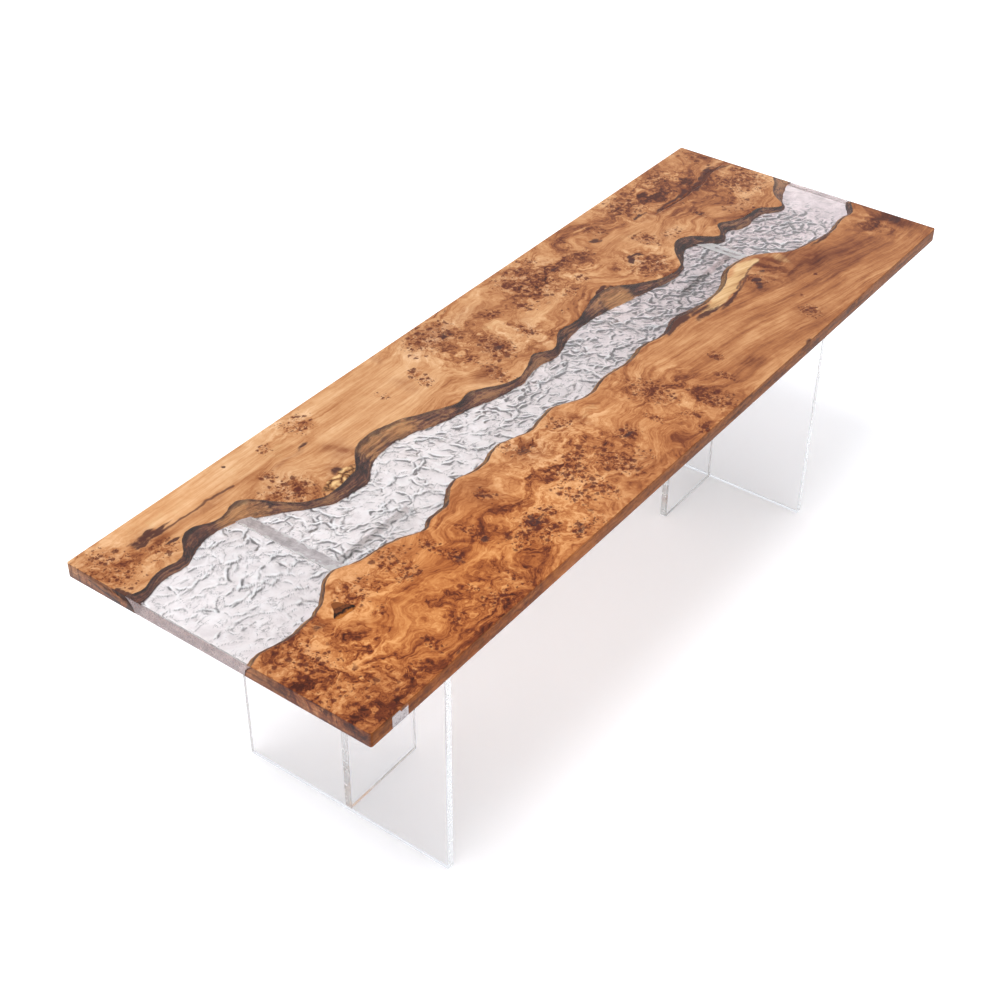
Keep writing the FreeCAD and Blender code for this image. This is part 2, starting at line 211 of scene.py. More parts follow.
# Dark knots and stains with a clear outline
DARK_MARKS = [
    (-1046, 338, 40, 11, 0.85), (-1030, 324, 34, 8, 0.8), (-1066, 326, 18, 14, 0.7),
    (-1000, 334, 30, 7, 0.65), (-1020, 282, 22, 5, 1.0), (-1198, 240, 9, 26, 1.1),
    (-600, 290, 24, 6, 1.0), (-738, 280, 8, 10, 0.8), (-740, 195, 22, 12, 0.75), (-622, 172, 14, 18, 0.7),
    (-38, 320, 26, 16, 0.65), (-8, 182, 24, 15, 0.75), (92, 170, 9, 16, 0.8), (570, 295, 20, 12, 1.1),
    (541, 154, 14, 8, 1.3), (562, 166, 20, 6, 1.3), (584, 161, 12, 8, 1.2), (333, 124, 11, 9, 1.2),
    (352, 134, 17, 6, 1.3), (378, 135, 17, 6, 1.3), (399, 118, 8, 15, 1.1), (890, 254, 44, 6, 0.9),
    (950, 245, 34, 9, 1.0), (1000, 238, 18, 13, 1.0), (1032, 243, 24, 10, 1.0), (1066, 252, 17, 14, 1.05),
    (1110, 258, 34, 10, 1.0), (836, 254, 24, 5, 0.85), (764, 276, 26, 6, 0.9), (378, 290, 20, 7, 0.85),
    (258, 314, 12, 9, 0.7), (-1035, -142, 18, 12, 0.8), (-614, -236, 12, 12, 0.95),
    (-707, -226, 8, 10, 0.8), (-515, -285, 24, 22, 0.75), (-500, -140, 12, 12, 0.75),
    (-468, -375, 18, 14, 0.75), (-310, -118, 34, 16, 0.7), (665, -160, 20, 15, 1.2),
    (640, -184, 14, 10, 1.15), (700, -150, 18, 8, 1.0), (415, -240, 8, 3, 0.7), (-768, 376, 7, 5, 0.8),
    (450, 267, 16, 5, 0.75), (758, 281, 20, 4, 0.9), (60, 396, 30, 5, 0.6), (1175, -305, 16, 30, 0.6),
    (335, -104, 44, 15, 1.2), (392, -108, 44, 14, 1.15), (440, -122, 40, 12, 0.9),
    (412, -150, 34, 10, 0.6), (440, -141, 40, 8, 1.15), (512, -156, 42, 7, 1.25), (565, -152, 34, 6, 1.1),
    (955, -188, 60, 7, 0.9), (1145, -172, 30, 8, 0.8), (-450, -398, 12, 4, 0.7), (-935, -397, 14, 4, 0.7),
    (2, -390, 10, 6, 0.5), (478, -396, 18, 8, 0.7), (1058, 182, 11, 9, 0.6), (-805, -182, 18, 4, 0.85),
    (-120, -268, 18, 5, 0.85), (876, 150, 8, 18, 0.6),
]
# Pale sapwood and light figure
PALE_PATCHES = [
    (360, 108, 22, 16, 0.55), (500, -132, 60, 13, 1.1), (570, -126, 50, 18, 1.2),
    (635, -108, 44, 20, 1.2), (690, -92, 40, 17, 1.1), (730, -98, 26, 12, 1.0), (805, -150, 24, 40, 0.45),
    (60, 255, 30, 30, 0.4), (180, 190, 40, 20, 0.35), (-650, 325, 50, 36, 0.4), (-360, 320, 50, 30, 0.35),
    (-100, -150, 60, 22, 0.35), (640, 235, 60, 30, 0.35), (-1000, 360, 120, 30, 0.4),
    (-770, 350, 70, 30, 0.35),
]
# Knobbly burl at the edge of the left slab
KNOB_PATCHES = [
    (-650, 142, 50, 24, 1.0), (-612, 156, 26, 18, 0.7),
]
# Broad lightness, above and below the middle tone
MIDDLE_TONE = 0.56
TONE_PATCHES = [
    (-850, 360, 330, 90, 0.37), (-400, 320, 200, 90, 0.35), (-300, 180, 160, 50, 0.3),
    (150, 230, 120, 60, 0.2), (650, 240, 120, 60, 0.15), (950, 260, 200, 120, -0.2),
    (1150, 280, 80, 160, -0.18), (-1150, -270, 90, 180, -0.2), (-950, -280, 120, 60, 0.15),
    (-640, -330, 60, 60, 0.15), (-420, -220, 50, 70, 0.3), (-80, -220, 60, 80, 0.25),
    (400, -260, 250, 120, -0.04), (900, -260, 250, 130, -0.28), (-400, 200, 120, 20, 0.2),
    (-200, -270, 1200, 170, -0.42), (-965, -150, 46, 46, 0.5), (-1000, 375, 240, 30, 0.22),
    (650, 260, 520, 190, -0.22), (1180, -300, 60, 140, -0.35), (500, -170, 300, 40, -0.2),
    (-1130, -165, 50, 50, 0.6), (-1160, -230, 40, 40, 0.3), (387, -224, 60, 16, 0.5),
    (473, -278, 60, 15, 0.5), (542, -297, 50, 13, 0.45), (374, -288, 50, 13, 0.4),
    (165, -180, 70, 18, 0.5), (269, -212, 60, 16, 0.45), (-60, -280, 320, 150, 0.22),
    (1020, -270, 180, 140, -0.16), (-1110, -350, 70, 60, -0.25), (-577, -254, 130, 110, 0.28),
    (-801, -256, 110, 100, 0.1),
]
# Straight flame figure: the far half of the right slab, and the plainer wood of the left one
FLAME_PATCHES = [
    (640, -260, 430, 190, 1.0), (1000, -310, 320, 150, 1.0), (-900, 350, 260, 75, 0.9),
    (-430, 290, 260, 120, 0.7), (180, 200, 70, 60, 0.4), (640, 240, 110, 60, 0.5),
]
# Figure rippled across the grain
RIPPLE_PATCHES = [
    (-995, -265, 70, 60, 1.0), (-860, -230, 80, 60, 0.6), (-660, -200, 50, 110, 0.9),
    (-200, -160, 90, 70, 0.9), (30, -150, 60, 40, 0.6), (-440, -180, 60, 90, 0.7),
    (-100, 180, 60, 60, 0.3),
]
# Bark left on the live edge of the right slab, which is bare wood elsewhere
BARK_PATCHES = [
    (360, -100, 75, 40, 1.0), (950, -180, 80, 40, 1.0), (1150, -165, 45, 40, 0.9),
    (-505, -65, 30, 30, 0.7),
]
# Redder, livelier wood: the near half of the right slab, and less of it at the left near corner
RICH_PATCHES = [
    (-800, -280, 520, 240, 1.0), (-220, -280, 380, 220, 0.5), (-1150, 330, 80, 100, 0.35),
    (-990, 370, 170, 60, 0.28),
]
# Golden bare wood on the live edges
GOLDEN_PATCHES = [
    (-875, 255, 42, 60, 1.0), (-825, 240, 32, 60, 0.7), (-500, 225, 75, 80, 0.8),
    (-415, 195, 60, 80, 0.75), (375, 95, 50, 60, 1.1), (170, 110, 40, 60, 0.5), (780, 110, 40, 60, 0.4),
    (-700, 190, 40, 60, 0.35),
]
# Zones of strong swirling figure
SWIRL_PATCHES = [
    (-1110, -260, 120, 190, 1.0), (-900, -140, 120, 60, 0.8), (-780, -330, 180, 90, 0.55),
    (-500, -290, 120, 110, 0.7), (-280, -180, 160, 180, 0.7), (80, -280, 120, 130, 0.6),
    (-1140, 330, 90, 90, 0.7), (-740, 200, 90, 60, 0.8), (-60, 300, 120, 110, 0.8),
    (60, 170, 140, 70, 0.7), (310, 300, 120, 110, 0.9), (560, 130, 90, 80, 0.8), (800, 330, 130, 90, 0.7),
    (980, 330, 110, 90, 0.8), (1110, 160, 120, 100, 0.7), (-560, 355, 70, 60, 0.5),
    (700, -170, 80, 60, 0.6), (1120, -270, 80, 90, 0.6), (450, 280, 80, 70, 0.7),
]
# Thin dark lines of the grain, each from point to point
DARK_LINES = [
    [(-1005, 322), (-950, 320), (-880, 323), (-840, 314), (-805, 312)],
    [(455, -144), (500, -150), (546, -152), (600, -146),
     (635, -138), (665, -122), (690, -111), (742, -111)],
    [(590, -140), (640, -126), (668, -128)],
    [(533, 146), (545, 162), (566, 169), (584, 164), (592, 150)],
    [(327, 118), (340, 131), (364, 138), (388, 133), (402, 118), (404, 96)],
    [(830, 254), (890, 255), (935, 248), (964, 241), (995, 231), (1017, 247), (1047, 241), (1073, 260)],
    [(1073, 260), (1095, 262), (1135, 250), (1190, 236)],
    [(935, 253), (965, 247), (1000, 238), (1020, 253), (1050, 248)],
    [(1062, 262), (1090, 267), (1135, 256), (1170, 246)],
    [(745, 281), (770, 275), (792, 270)],
]
# What the finishes of the wood read by name, apart from tone, lines and bark
FIGURE = {
    "eyes": EYE_PATCHES, "warm": WARM_PATCHES, "dark": DARK_MARKS, "pale": PALE_PATCHES,
    "knobs": KNOB_PATCHES, "golden": GOLDEN_PATCHES, "flamed": FLAME_PATCHES,
    "ripple": RIPPLE_PATCHES, "swirl": SWIRL_PATCHES, "rich": RICH_PATCHES,
}
# The dark slot in the knot pocket: its turn from the table's length, and its offset when turned
SLOT_TURN = math.radians(9)
SLOT_OFFSET = -297 * MM


def fill_ramp(node, stops):
    """Set the stops of a colour ramp, each a position and a colour."""
    elements = node.color_ramp.elements
    while len(elements) < len(stops):
        elements.new(0.5)
    for element, (position, colour) in zip(elements, stops):
        element.position = position
        element.color = (*colour, 1)


class Nodes:
    """The node tree of one material, with a short way to add each kind of node."""

    def __init__(self, name):
        self.material = bpy.data.materials.new(name)
        self.material.use_nodes = True
        self.tree = self.material.node_tree
        self.shader = self.tree.nodes["Principled BSDF"]

    def add(self, kind, inputs=None, **settings):
        """A new node with its settings, and links or values on its inputs."""
        node = self.tree.nodes.new("ShaderNode" + kind)
        for name, value in settings.items():
            setattr(node, name, value)
        for socket, value in (inputs or {}).items():
            self.put(node.inputs[socket], value)
        return node

    def put(self, socket, value):
        """Link a socket, or give it a plain value."""
        if isinstance(value, bpy.types.NodeSocket):
            self.tree.links.new(value, socket)
        else:
            socket.default_value = value

    def set(self, **inputs):
        """Set the shader's inputs; underscores stand for the spaces in their names."""
        for name, value in inputs.items():
            self.put(self.shader.inputs[name.replace("_", " ")], value)

    def place(self, scale=(1, 1, 1), turn=(0, 0, 0)):
        """Object coordinates, scaled and turned."""
        start = self.add("TexCoord").outputs["Object"]
        return self.add("Mapping", {"Vector": start, "Scale": scale, "Rotation": turn}).outputs[0]

    def axes(self, vector):
        """The X, Y and Z of a vector, by name."""
        return self.add("SeparateXYZ", {0: vector}).outputs

    def math(self, operation, a, b=0.0, clamp=False):
        return self.add("Math", {0: a, 1: b}, operation=operation, use_clamp=clamp).outputs[0]

    def times(self, a, b):
        return self.math("MULTIPLY", a, b)

    def plus(self, total, *others):
        """The sum of two or more values."""
        for other in others:
            total = self.math("ADD", total, other)
        return total

    def share(self, value, weight):
        """A noise value taken evenly to both sides of nothing, and weighed."""
        return self.times(self.math("SUBTRACT", value, 0.5), weight)

    def shift(self, vector, offset, amount):
        """A vector moved by a noise colour, evenly to both sides."""
        middle = (0.5, 0.5, 0.5)
        centred = self.add("VectorMath", {0: offset, 1: middle}, operation="SUBTRACT").outputs[0]
        scaled = self.add("VectorMath", {0: centred, "Scale": amount}, operation="SCALE").outputs[0]
        return self.add("VectorMath", {0: vector, 1: scaled}, operation="ADD").outputs[0]

    def noise(self, vector, scale, detail=2.0, roughness=0.5, distortion=0.0):
        inputs = {"Vector": vector, "Scale": scale, "Detail": detail}
        inputs.update({"Roughness": roughness, "Distortion": distortion})
        return self.add("TexNoise", inputs)

    def grey(self, *settings):
        """The grey value of a noise."""
        return self.noise(*settings).outputs[0]

    def tangle(self, *settings):
        """The colour of a noise, to move coordinates by."""
        return self.noise(*settings).outputs["Color"]

    def ease(self, value, low, high, start=0.0, end=1.0):
        """A smooth step from start to end as the value goes from low to high."""
        inputs = {"Value": value, "From Min": low, "From Max": high, "To Min": start, "To Max": end}
        return self.add("MapRange", inputs, interpolation_type="SMOOTHSTEP").outputs[0]

    def ramp(self, value, stops):
        node = self.add("ValToRGB", {0: value})
        fill_ramp(node, stops)
        return node.outputs[0]

    def mix(self, share, a, b, blend="MIX"):
        node = self.add("Mix", data_type="RGBA", blend_type=blend)
        for index, value in ((0, share), (6, a), (7, b)):
            if isinstance(value, tuple):
                value = (*value, 1)
            self.put(node.inputs[index], value)
        return node.outputs[2]

    def tint(self, share, colour, by):
        """A colour multiplied by another, by a share."""
        return self.mix(share, colour, by, "MULTIPLY")

    def attribute(self, name):
        return self.add("Attribute", attribute_name=name).outputs["Fac"]

    def bump(self, height, strength, distance):
        inputs = {"Height": height, "Strength": strength, "Distance": distance}
        self.set(Normal=self.add("Bump", inputs).outputs[0])


def burl_wood():
    """Oiled burl: bent grain, swirling figure, clusters of eyes, stains, sapwood, and edges darkened
    partly with painted shade.
    """
    n = Nodes("burl_wood")
    here = n.place()
    eyes = n.attribute("eyes")
    flame = n.attribute("flamed")
    swirl = n.attribute("swirl")
    rich = n.attribute("rich")

    # The grain runs along the slab and bends round the burls. Flames fan out on the right slab
    sway = n.tangle(here, 4.5, 2.0)
    curl = n.tangle(here, 13.0, 3.0, 0.55)
    kink = n.tangle(here, 42.0, 2.0)
    straight = n.ease(flame, 0.0, 0.6, 1.0, 0.07)
    axes = n.axes(here)
    fan = n.times(n.math("SUBTRACT", axes["X"], 0.4), n.times(flame, 0.22))
    fan = n.times(fan, n.ease(axes["Y"], -0.07, -0.05, 1.0, 0.0))
    fan = n.add("CombineXYZ", {1: fan}).outputs[0]
    bent = n.add("VectorMath", {0: here, 1: fan}, operation="ADD").outputs[0]
    bent = n.shift(bent, sway, n.times(straight, 0.30))
    bent = n.shift(bent, curl, n.times(straight, n.ease(swirl, 0.0, 0.8, 0.05, 0.26)))
    bent = n.shift(bent, kink, n.ease(swirl, 0.0, 0.8, 0.004, 0.040))

    def grain(scale, detail, roughness=0.5):
        stretched = n.add("Mapping", {"Vector": bent, "Scale": scale}).outputs[0]
        return n.grey(stretched, 1.0, detail, roughness)

    broad = grain((2.0, 11.0, 8.0), 3.0)
    flames = grain((1.2, 18.0, 13.0), 3.0)
    bands = grain((4.5, 46.0, 26.0), 3.0, 0.55)
    strands = grain((9.0, 110.0, 60.0), 3.0, 0.6)
    hairs = grain((14.0, 230.0, 120.0), 2.0)
    ripple = grain((62.0, 9.0, 9.0), 2.0)
    blotch = n.grey(bent, 17.0, 4.0, 0.6, 0.6)
    mottle = n.grey(here, 85.0, 3.0, 0.6, 0.8)
    patchy = n.ease(n.grey(here, 7.0, 2.0), 0.35, 0.65, 0.25, 1.0)

    tone = n.plus(
        n.times(n.share(broad, 1.15), n.math("SUBTRACT", 1.0, flame)),
        n.times(n.share(flames, 0.62), flame),
        0.58,
        n.times(n.share(bands, 0.95), patchy),
        n.times(n.share(bands, -0.25), flame),
        n.times(n.share(strands, 0.5), n.ease(flame, 0.0, 1.0, 1.0, 0.6)),
        n.share(hairs, 0.32),
        n.times(n.share(ripple, 0.9), n.attribute("ripple")),
        n.times(n.share(blotch, 1.6), n.ease(swirl, 0.0, 0.9, 0.15, 1.0)),
        n.times(n.share(mottle, 1.5), n.ease(eyes, 0.1, 0.8, 0.10, 1.0)),
    )
    contrast = n.ease(rich, 0.0, 1.0, 1.08, 1.4)
    tone = n.plus(n.times(n.math("SUBTRACT", tone, MIDDLE_TONE), contrast), MIDDLE_TONE)
    tone = n.math("ADD", tone, n.times(n.attribute("tone"), 0.36), clamp=True)
    wood = n.ramp(tone, [
        (0.0, (0.062, 0.014, 0.007)), (0.22, (0.175, 0.048, 0.018)), (0.42, (0.355, 0.134, 0.047)),
        (0.60, (0.498, 0.234, 0.098)), (0.78, (0.615, 0.337, 0.163)), (1.0, (0.745, 0.47, 0.27)),
    ])
    wood = n.tint(rich, wood, (0.95, 0.70, 0.44))
    stain = n.times(n.attribute("warm"), n.ease(blotch, 0.3, 0.6, 1.0, 0.4))
    wood = n.tint(stain, wood, (0.50, 0.34, 0.30))
    wood = n.tint(n.ease(eyes, 0.15, 1.0, 0.0, 0.5), wood, (0.66, 0.48, 0.40))

    # Eyes: crooked dark pips, more of them towards the middle of a cluster
    crooked = n.shift(here, n.tangle(here, 120.0, 2.0, 0.6), 0.014)
    for cells, rim, strength in ((62.0, 0.42, 0.85), (125.0, 0.40, 0.75), (34.0, 0.30, 0.78)):
        cell = n.add("TexVoronoi", {"Vector": crooked, "Scale": cells}, voronoi_dimensions="2D")
        draws = n.add("SeparateColor", {0: cell.outputs["Color"]}).outputs
        chosen = n.ease(n.math("SUBTRACT", n.times(eyes, 1.15), draws[0]), 0.0, 0.15)
        size = n.ease(draws[1], 0.0, 1.0, 0.45, 1.1)
        pip = n.ease(n.math("DIVIDE", cell.outputs["Distance"], size), 0.18, rim, strength, 0.0)
        wood = n.mix(n.times(pip, chosen), wood, (0.092, 0.016, 0.007))

    rough = n.share(n.grey(here, 40.0, 5.0, 0.65, 0.6), 1.5)
    pale = n.ease(n.plus(n.attribute("pale"), n.times(rough, 0.5)), 0.25, 0.8)
    sapwood = n.ramp(n.plus(0.55, n.share(hairs, 0.9), n.share(bands, 1.3)), [
        (0.1, (0.34, 0.16, 0.06)), (0.5, (0.60, 0.37, 0.17)), (0.9, (0.75, 0.54, 0.31)),
    ])
    wood = n.mix(n.times(pale, 0.9), wood, sapwood)

    # Knobbly edge of a burl beside the river: cream lumps parted by dark furrows
    knob = n.ease(n.plus(n.attribute("knobs"), n.times(rough, 0.6)), 0.3, 0.6)
    swelling = {"Vector": n.shift(here, kink, 0.03), "Scale": 40.0}
    lump = n.add("TexVoronoi", swelling, feature="DISTANCE_TO_EDGE").outputs[0]
    knobbly_wood = n.ramp(n.plus(lump, n.share(mottle, 0.25)), [
        (0.02, (0.080, 0.030, 0.012)), (0.12, (0.32, 0.14, 0.05)), (0.34, (0.74, 0.48, 0.22)),
    ])
    wood = n.mix(knob, wood, knobbly_wood)

    marked = n.attribute("dark")
    ragged = n.times(n.plus(rough, n.share(bands, 2.4)), n.ease(marked, 0.0, 0.4))
    dark = n.ease(n.plus(marked, ragged), 0.35, 0.95, 0.0, 0.92)
    wood = n.mix(dark, wood, (0.056, 0.017, 0.015))
    line = n.plus(n.attribute("line"), n.times(rough, 2.0))
    wood = n.mix(n.ease(line, 1.0, 5.0, 0.8, 0.0), wood, (0.070, 0.020, 0.015))

    # The sawn and eased edges are tinted browner by the way they face, the long sides most of all: partly
    # the darker colour of the end grain, partly painted shade on the faces turned from the light
    normal = n.axes(n.add("NewGeometry").outputs["Normal"])
    edge_face = n.ease(n.math("ABSOLUTE", normal["Z"]), 0.30, 0.80, 1.0, 0.0)
    end_grain = n.ease(n.math("ABSOLUTE", normal["X"]), 0.5, 0.8)
    long_side = n.times(edge_face, n.math("SUBTRACT", 1.0, end_grain))
    saw = n.grey(n.shift(n.place((9, 9, 110)), kink, 1.6), 1.0, 4.0, 0.6)
    side_colour_and_shade = n.ramp(saw, [
        (0.32, (0.20, 0.11, 0.06)), (0.5, (0.39, 0.23, 0.12)), (0.68, (0.62, 0.39, 0.205)),
    ])
    side_colour_and_shade = n.mix(n.ease(rich, 0.3, 0.9, 0.0, 0.75), side_colour_and_shade, (1.0, 0.66, 0.26))
    end_grain_and_shade = n.ramp(saw, [
        (0.32, (0.22, 0.165, 0.14)), (0.5, (0.41, 0.33, 0.29)), (0.68, (0.70, 0.585, 0.53)),
    ])
    wood = n.tint(edge_face, wood, n.mix(end_grain, side_colour_and_shade, end_grain_and_shade))
    sawn_and_shaded_side = n.ramp(saw, [
        (0.32, (0.075, 0.022, 0.008)), (0.5, (0.190, 0.062, 0.014)), (0.68, (0.310, 0.115, 0.032)),
    ])
    # Painted shade: the long sides darkened further
    wood = n.mix(n.times(long_side, 0.65), wood, sawn_and_shaded_side)

    n.set(Base_Color=wood, Roughness=n.ease(blotch, 0.2, 0.8, 0.30, 0.42))
    n.set(Specular_IOR_Level=n.ease(long_side, 0.0, 1.0, 0.2, 0.05))
    n.bump(hairs, 0.05, 0.0005)
    return n.material


def live_edge_bark():
    """The live edge under the resin: brown bark with long streaks, bare wood where it has gone, and a
    painted shadow under the top.
    """
    n = Nodes("live_edge_bark")
    here = n.place()
    drift = n.tangle(here, 9.0, 2.0)
    along = n.grey(n.shift(n.place((7, 60, 110)), drift, 3.0), 1.0, 5.0, 0.6)
    fibres = n.grey(n.shift(n.place((26, 150, 320)), drift, 5.0), 1.0, 3.0, 0.6)
    patch = n.grey(here, 8.0, 3.0, 0.55)
    flakes = n.grey(here, 120.0, 4.0, 0.65)

    tone = n.plus(
        0.44, n.share(along, 2.0), n.share(patch, 2.2), n.share(fibres, 1.1), n.share(flakes, 0.9),
    )
    bark = n.ramp(tone, [
        (0.05, (0.052, 0.023, 0.020)), (0.32, (0.140, 0.052, 0.038)), (0.55, (0.30, 0.112, 0.060)),
        (0.85, (0.60, 0.285, 0.125)),
    ])
    bare_wood = n.ramp(tone, [
        (0.15, (0.16, 0.055, 0.018)), (0.5, (0.42, 0.17, 0.05)), (0.8, (0.62, 0.31, 0.11)),
    ])
    barked = n.ease(n.plus(n.attribute("bark"), n.share(flakes, 0.6)), 0.2, 0.8)
    bark = n.mix(barked, bare_wood, bark)
    pale = n.ease(n.plus(n.attribute("pale"), n.share(flakes, 0.9)), 0.3, 0.8)
    bark = n.mix(n.times(pale, 0.8), bark, (0.58, 0.36, 0.16))
    golden = n.plus(n.attribute("golden"), n.share(along, 0.9), n.share(patch, 0.6))
    golden_wood = n.ramp(n.plus(along, n.share(fibres, 0.7)), [
        (0.3, (0.31, 0.11, 0.037)), (0.5, (0.71, 0.31, 0.105)), (0.7, (0.97, 0.54, 0.22)),
    ])
    bark = n.mix(n.ease(golden, 0.3, 0.8, 0.0, 0.85), bark, golden_wood)

    # Painted shadow: a dark ragged rim just under the top, where the edge of the top shades the bank
    ragged = n.plus(n.axes(here)["Z"], n.share(n.grey(here, 38.0, 3.0, 0.6), 22 * MM))
    rim = n.ease(ragged, TOP - 11 * MM, TOP - 1 * MM, 0.0, 0.7)
    bark = n.mix(rim, bark, (0.048, 0.022, 0.019))
    n.set(Base_Color=bark, Roughness=n.ease(flakes, 0.3, 0.7, 0.5, 0.75), Specular_IOR_Level=0.3)
    n.bump(n.plus(along, n.times(flakes, 0.4)), 0.7, 0.003)
    return n.material


def clear_cast(name, tint, ior, haze):
    """A clear casting with a faint uneven polish."""
    n = Nodes(name)
    polish = n.grey(n.place(), 24.0, 3.0)
    n.set(Base_Color=(*tint, 1), Roughness=n.ease(polish, 0.3, 0.7, haze * 0.4, haze))
    n.set(IOR=ior, Transmission_Weight=1.0, Specular_IOR_Level=0.5)
    return n.material


def crinkled_resin():
    """Underside of the river, cast on crumpled film: cloudy white and half clear, painted with shade in
    the folds and highlights on the ridges.
    """
    n = Nodes("crinkled_resin")
    here = n.place()
    cloud = n.grey(here, 26.0, 4.0, 0.6, 1.0)
    glint = n.grey(here, 200.0, 2.0, 0.6)
    # Painted light and shade: the film is whiter under the sheen over the near part, and greyer towards
    # the far end
    far = n.ease(n.axes(here)["X"], -0.5, 0.9)
    near_ground = n.ramp(cloud, [
        (0.3, (0.72, 0.645, 0.64)), (0.5, (0.90, 0.82, 0.815)), (0.7, (0.98, 0.93, 0.93)),
    ])
    far_ground = n.ramp(cloud, [
        (0.3, (0.43, 0.326, 0.33)), (0.5, (0.735, 0.572, 0.577)), (0.7, (1.0, 0.82, 0.825)),
    ])
    film = n.mix(far, near_ground, far_ground)
    # Painted shade in the hollow on the gentle side of each fold
    hollow = n.ease(n.attribute("hollow"), 0.1, 0.9, 0.0, 0.7)
    film = n.mix(hollow, film, (0.28, 0.24, 0.248))

    # Thin broken creases between the folds, painted in as dark lines of shade
    leaning = n.place((34, 62, 40), (0, 0, math.radians(-CREASE_LEAN)))
    wavy = n.grey(leaning, 1.0, 3.0, 0.55, 1.2)
    thin = n.ease(n.math("ABSOLUTE", n.math("SUBTRACT", wavy, 0.5)), 0.006, 0.030, 0.75, 0.0)
    broken = n.ease(n.grey(here, 34.0, 2.0), 0.46, 0.60)
    thin = n.times(n.times(thin, broken), n.attribute("crumpled"))
    film = n.mix(thin, film, (0.10, 0.088, 0.092))

    # Painted shade: dark strokes along the folds, where the clear film turns light away
    fold = n.plus(n.attribute("painted_fold_shade"), n.share(glint, 0.4))
    film = n.mix(n.ease(fold, 0.12, 0.62, 0.0, 0.96), film, (0.038, 0.031, 0.033))
    # Painted highlights: bright lines along the ridges beside the folds
    film = n.mix(n.ease(n.attribute("painted_ridge_highlight"), 0.15, 0.7, 0.0, 0.85), film, (0.97, 0.965, 0.97))
    n.set(Base_Color=film, Roughness=n.ease(glint, 0.3, 0.7, 0.30, 0.45))
    n.set(Transmission_Weight=0.6, IOR=1.5)
    n.bump(cloud, 0.25, 0.004)
    return n.material


def milky_resin():
    """Cloudy smears of resin over the edges of the bars."""
    n = Nodes("milky_resin")
    cloud = n.grey(n.place(), 60.0, 3.0, 0.6)
    colour = n.ramp(cloud, [(0.3, (0.84, 0.82, 0.83)), (0.6, (0.97, 0.96, 0.965))])
    n.set(Base_Color=colour, Roughness=n.ease(cloud, 0.3, 0.7, 0.3, 0.5))
    n.bump(cloud, 0.2, 0.002)
    return n.material


def sanded_resin(name, shade, clearness):
    """Sawn and sanded faces of the resin: greyish and cloudy, with pale streaks."""
    n = Nodes(name)
    drift = n.tangle(n.place(), 30.0)
    streak = n.grey(n.shift(n.place((22, 14, 70)), drift, 2.5), 1.0, 4.0, 0.55)
    speck = n.grey(n.place(), 240.0, 3.0, 0.6)
    tone = n.plus(streak, n.share(speck, 0.06))
    colour = n.ramp(tone, [
        (0.30, (0.40, 0.38, 0.39)), (0.50, (0.64, 0.61, 0.62)), (0.62, (0.82, 0.80, 0.81)),
        (0.74, (0.98, 0.97, 0.98)),
    ])
    n.set(Base_Color=n.tint(1.0, colour, shade), Roughness=n.ease(speck, 0.3, 0.7, 0.18, 0.40))
    n.set(Transmission_Weight=clearness, IOR=1.5)
    n.bump(tone, 0.15, 0.002)
    return n.material


def sawn_acrylic():
    """Edges of the acrylic panels: flame polished over the saw marks, so whitish and rippled."""
    n = Nodes("sawn_acrylic")
    marks = n.grey(n.place((60, 60, 90)), 1.0, 3.0, 0.6)
    n.set(Base_Color=(0.97, 0.975, 0.975, 1), Roughness=n.ease(marks, 0.35, 0.65, 0.05, 0.30))
    n.set(Transmission_Weight=0.7, IOR=1.49)
    n.bump(marks, 0.25, 0.002)
    return n.material


def frosted_acrylic():
    """Tops of the stems, matt near-white: painted light in place of the brightness the clear stems show
    under the resin.
    """
    n = Nodes("frosted_acrylic")
    grit = n.grey(n.place(), 500.0, 3.0)
    colour = n.ramp(grit, [(0.3, (0.90, 0.90, 0.91)), (0.7, (0.97, 0.97, 0.975))])
    n.set(Base_Color=colour, Roughness=0.7)
    n.bump(grit, 0.2, 0.0005)
    return n.material


def crack_resin():
    """Dark brown resin poured over bark in the long crack."""
    n = Nodes("crack_resin")
    wander = n.tangle(n.place(), 60.0)
    bark = n.grey(n.shift(n.place((40, 90, 90)), wander, 2.0), 1.0, 4.0, 0.65)
    colour = n.ramp(bark, [
        (0.32, (0.040, 0.012, 0.006)), (0.48, (0.088, 0.027, 0.016)), (0.66, (0.151, 0.050, 0.029)),
    ])
    n.set(Base_Color=colour, Roughness=n.ease(bark, 0.3, 0.7, 0.30, 0.55), Specular_IOR_Level=0.15)
    n.bump(bark, 0.3, 0.002)
    return n.material


def pocket_resin():
    """Resin over the knot hollow: red-brown wood seen under it, and a nearly black slot across."""
    n = Nodes("pocket_resin")
    here = n.place()
    rot = n.grey(n.shift(here, n.tangle(here, 60.0), 0.03), 70.0, 4.0, 0.65)
    beside = n.axes(n.place(turn=(0, 0, SLOT_TURN)))["Y"]
    beside = n.plus(n.math("SUBTRACT", beside, SLOT_OFFSET), n.share(rot, 36 * MM))
    colour = n.ramp(n.ease(beside, -15 * MM, 25 * MM), [
        (0.10, (0.37, 0.118, 0.020)), (0.23, (0.13, 0.036, 0.010)), (0.29, (0.012, 0.005, 0.003)),
        (0.45, (0.014, 0.006, 0.004)), (0.56, (0.090, 0.025, 0.009)), (0.66, (0.165, 0.047, 0.014)),
        (0.78, (0.060, 0.017, 0.007)), (0.90, (0.200, 0.060, 0.016)),
    ])
    n.set(Base_Color=colour, Roughness=n.ease(rot, 0.3, 0.7, 0.25, 0.5), Specular_IOR_Level=0.15)
    n.bump(rot, 0.3, 0.002)
    return n.material


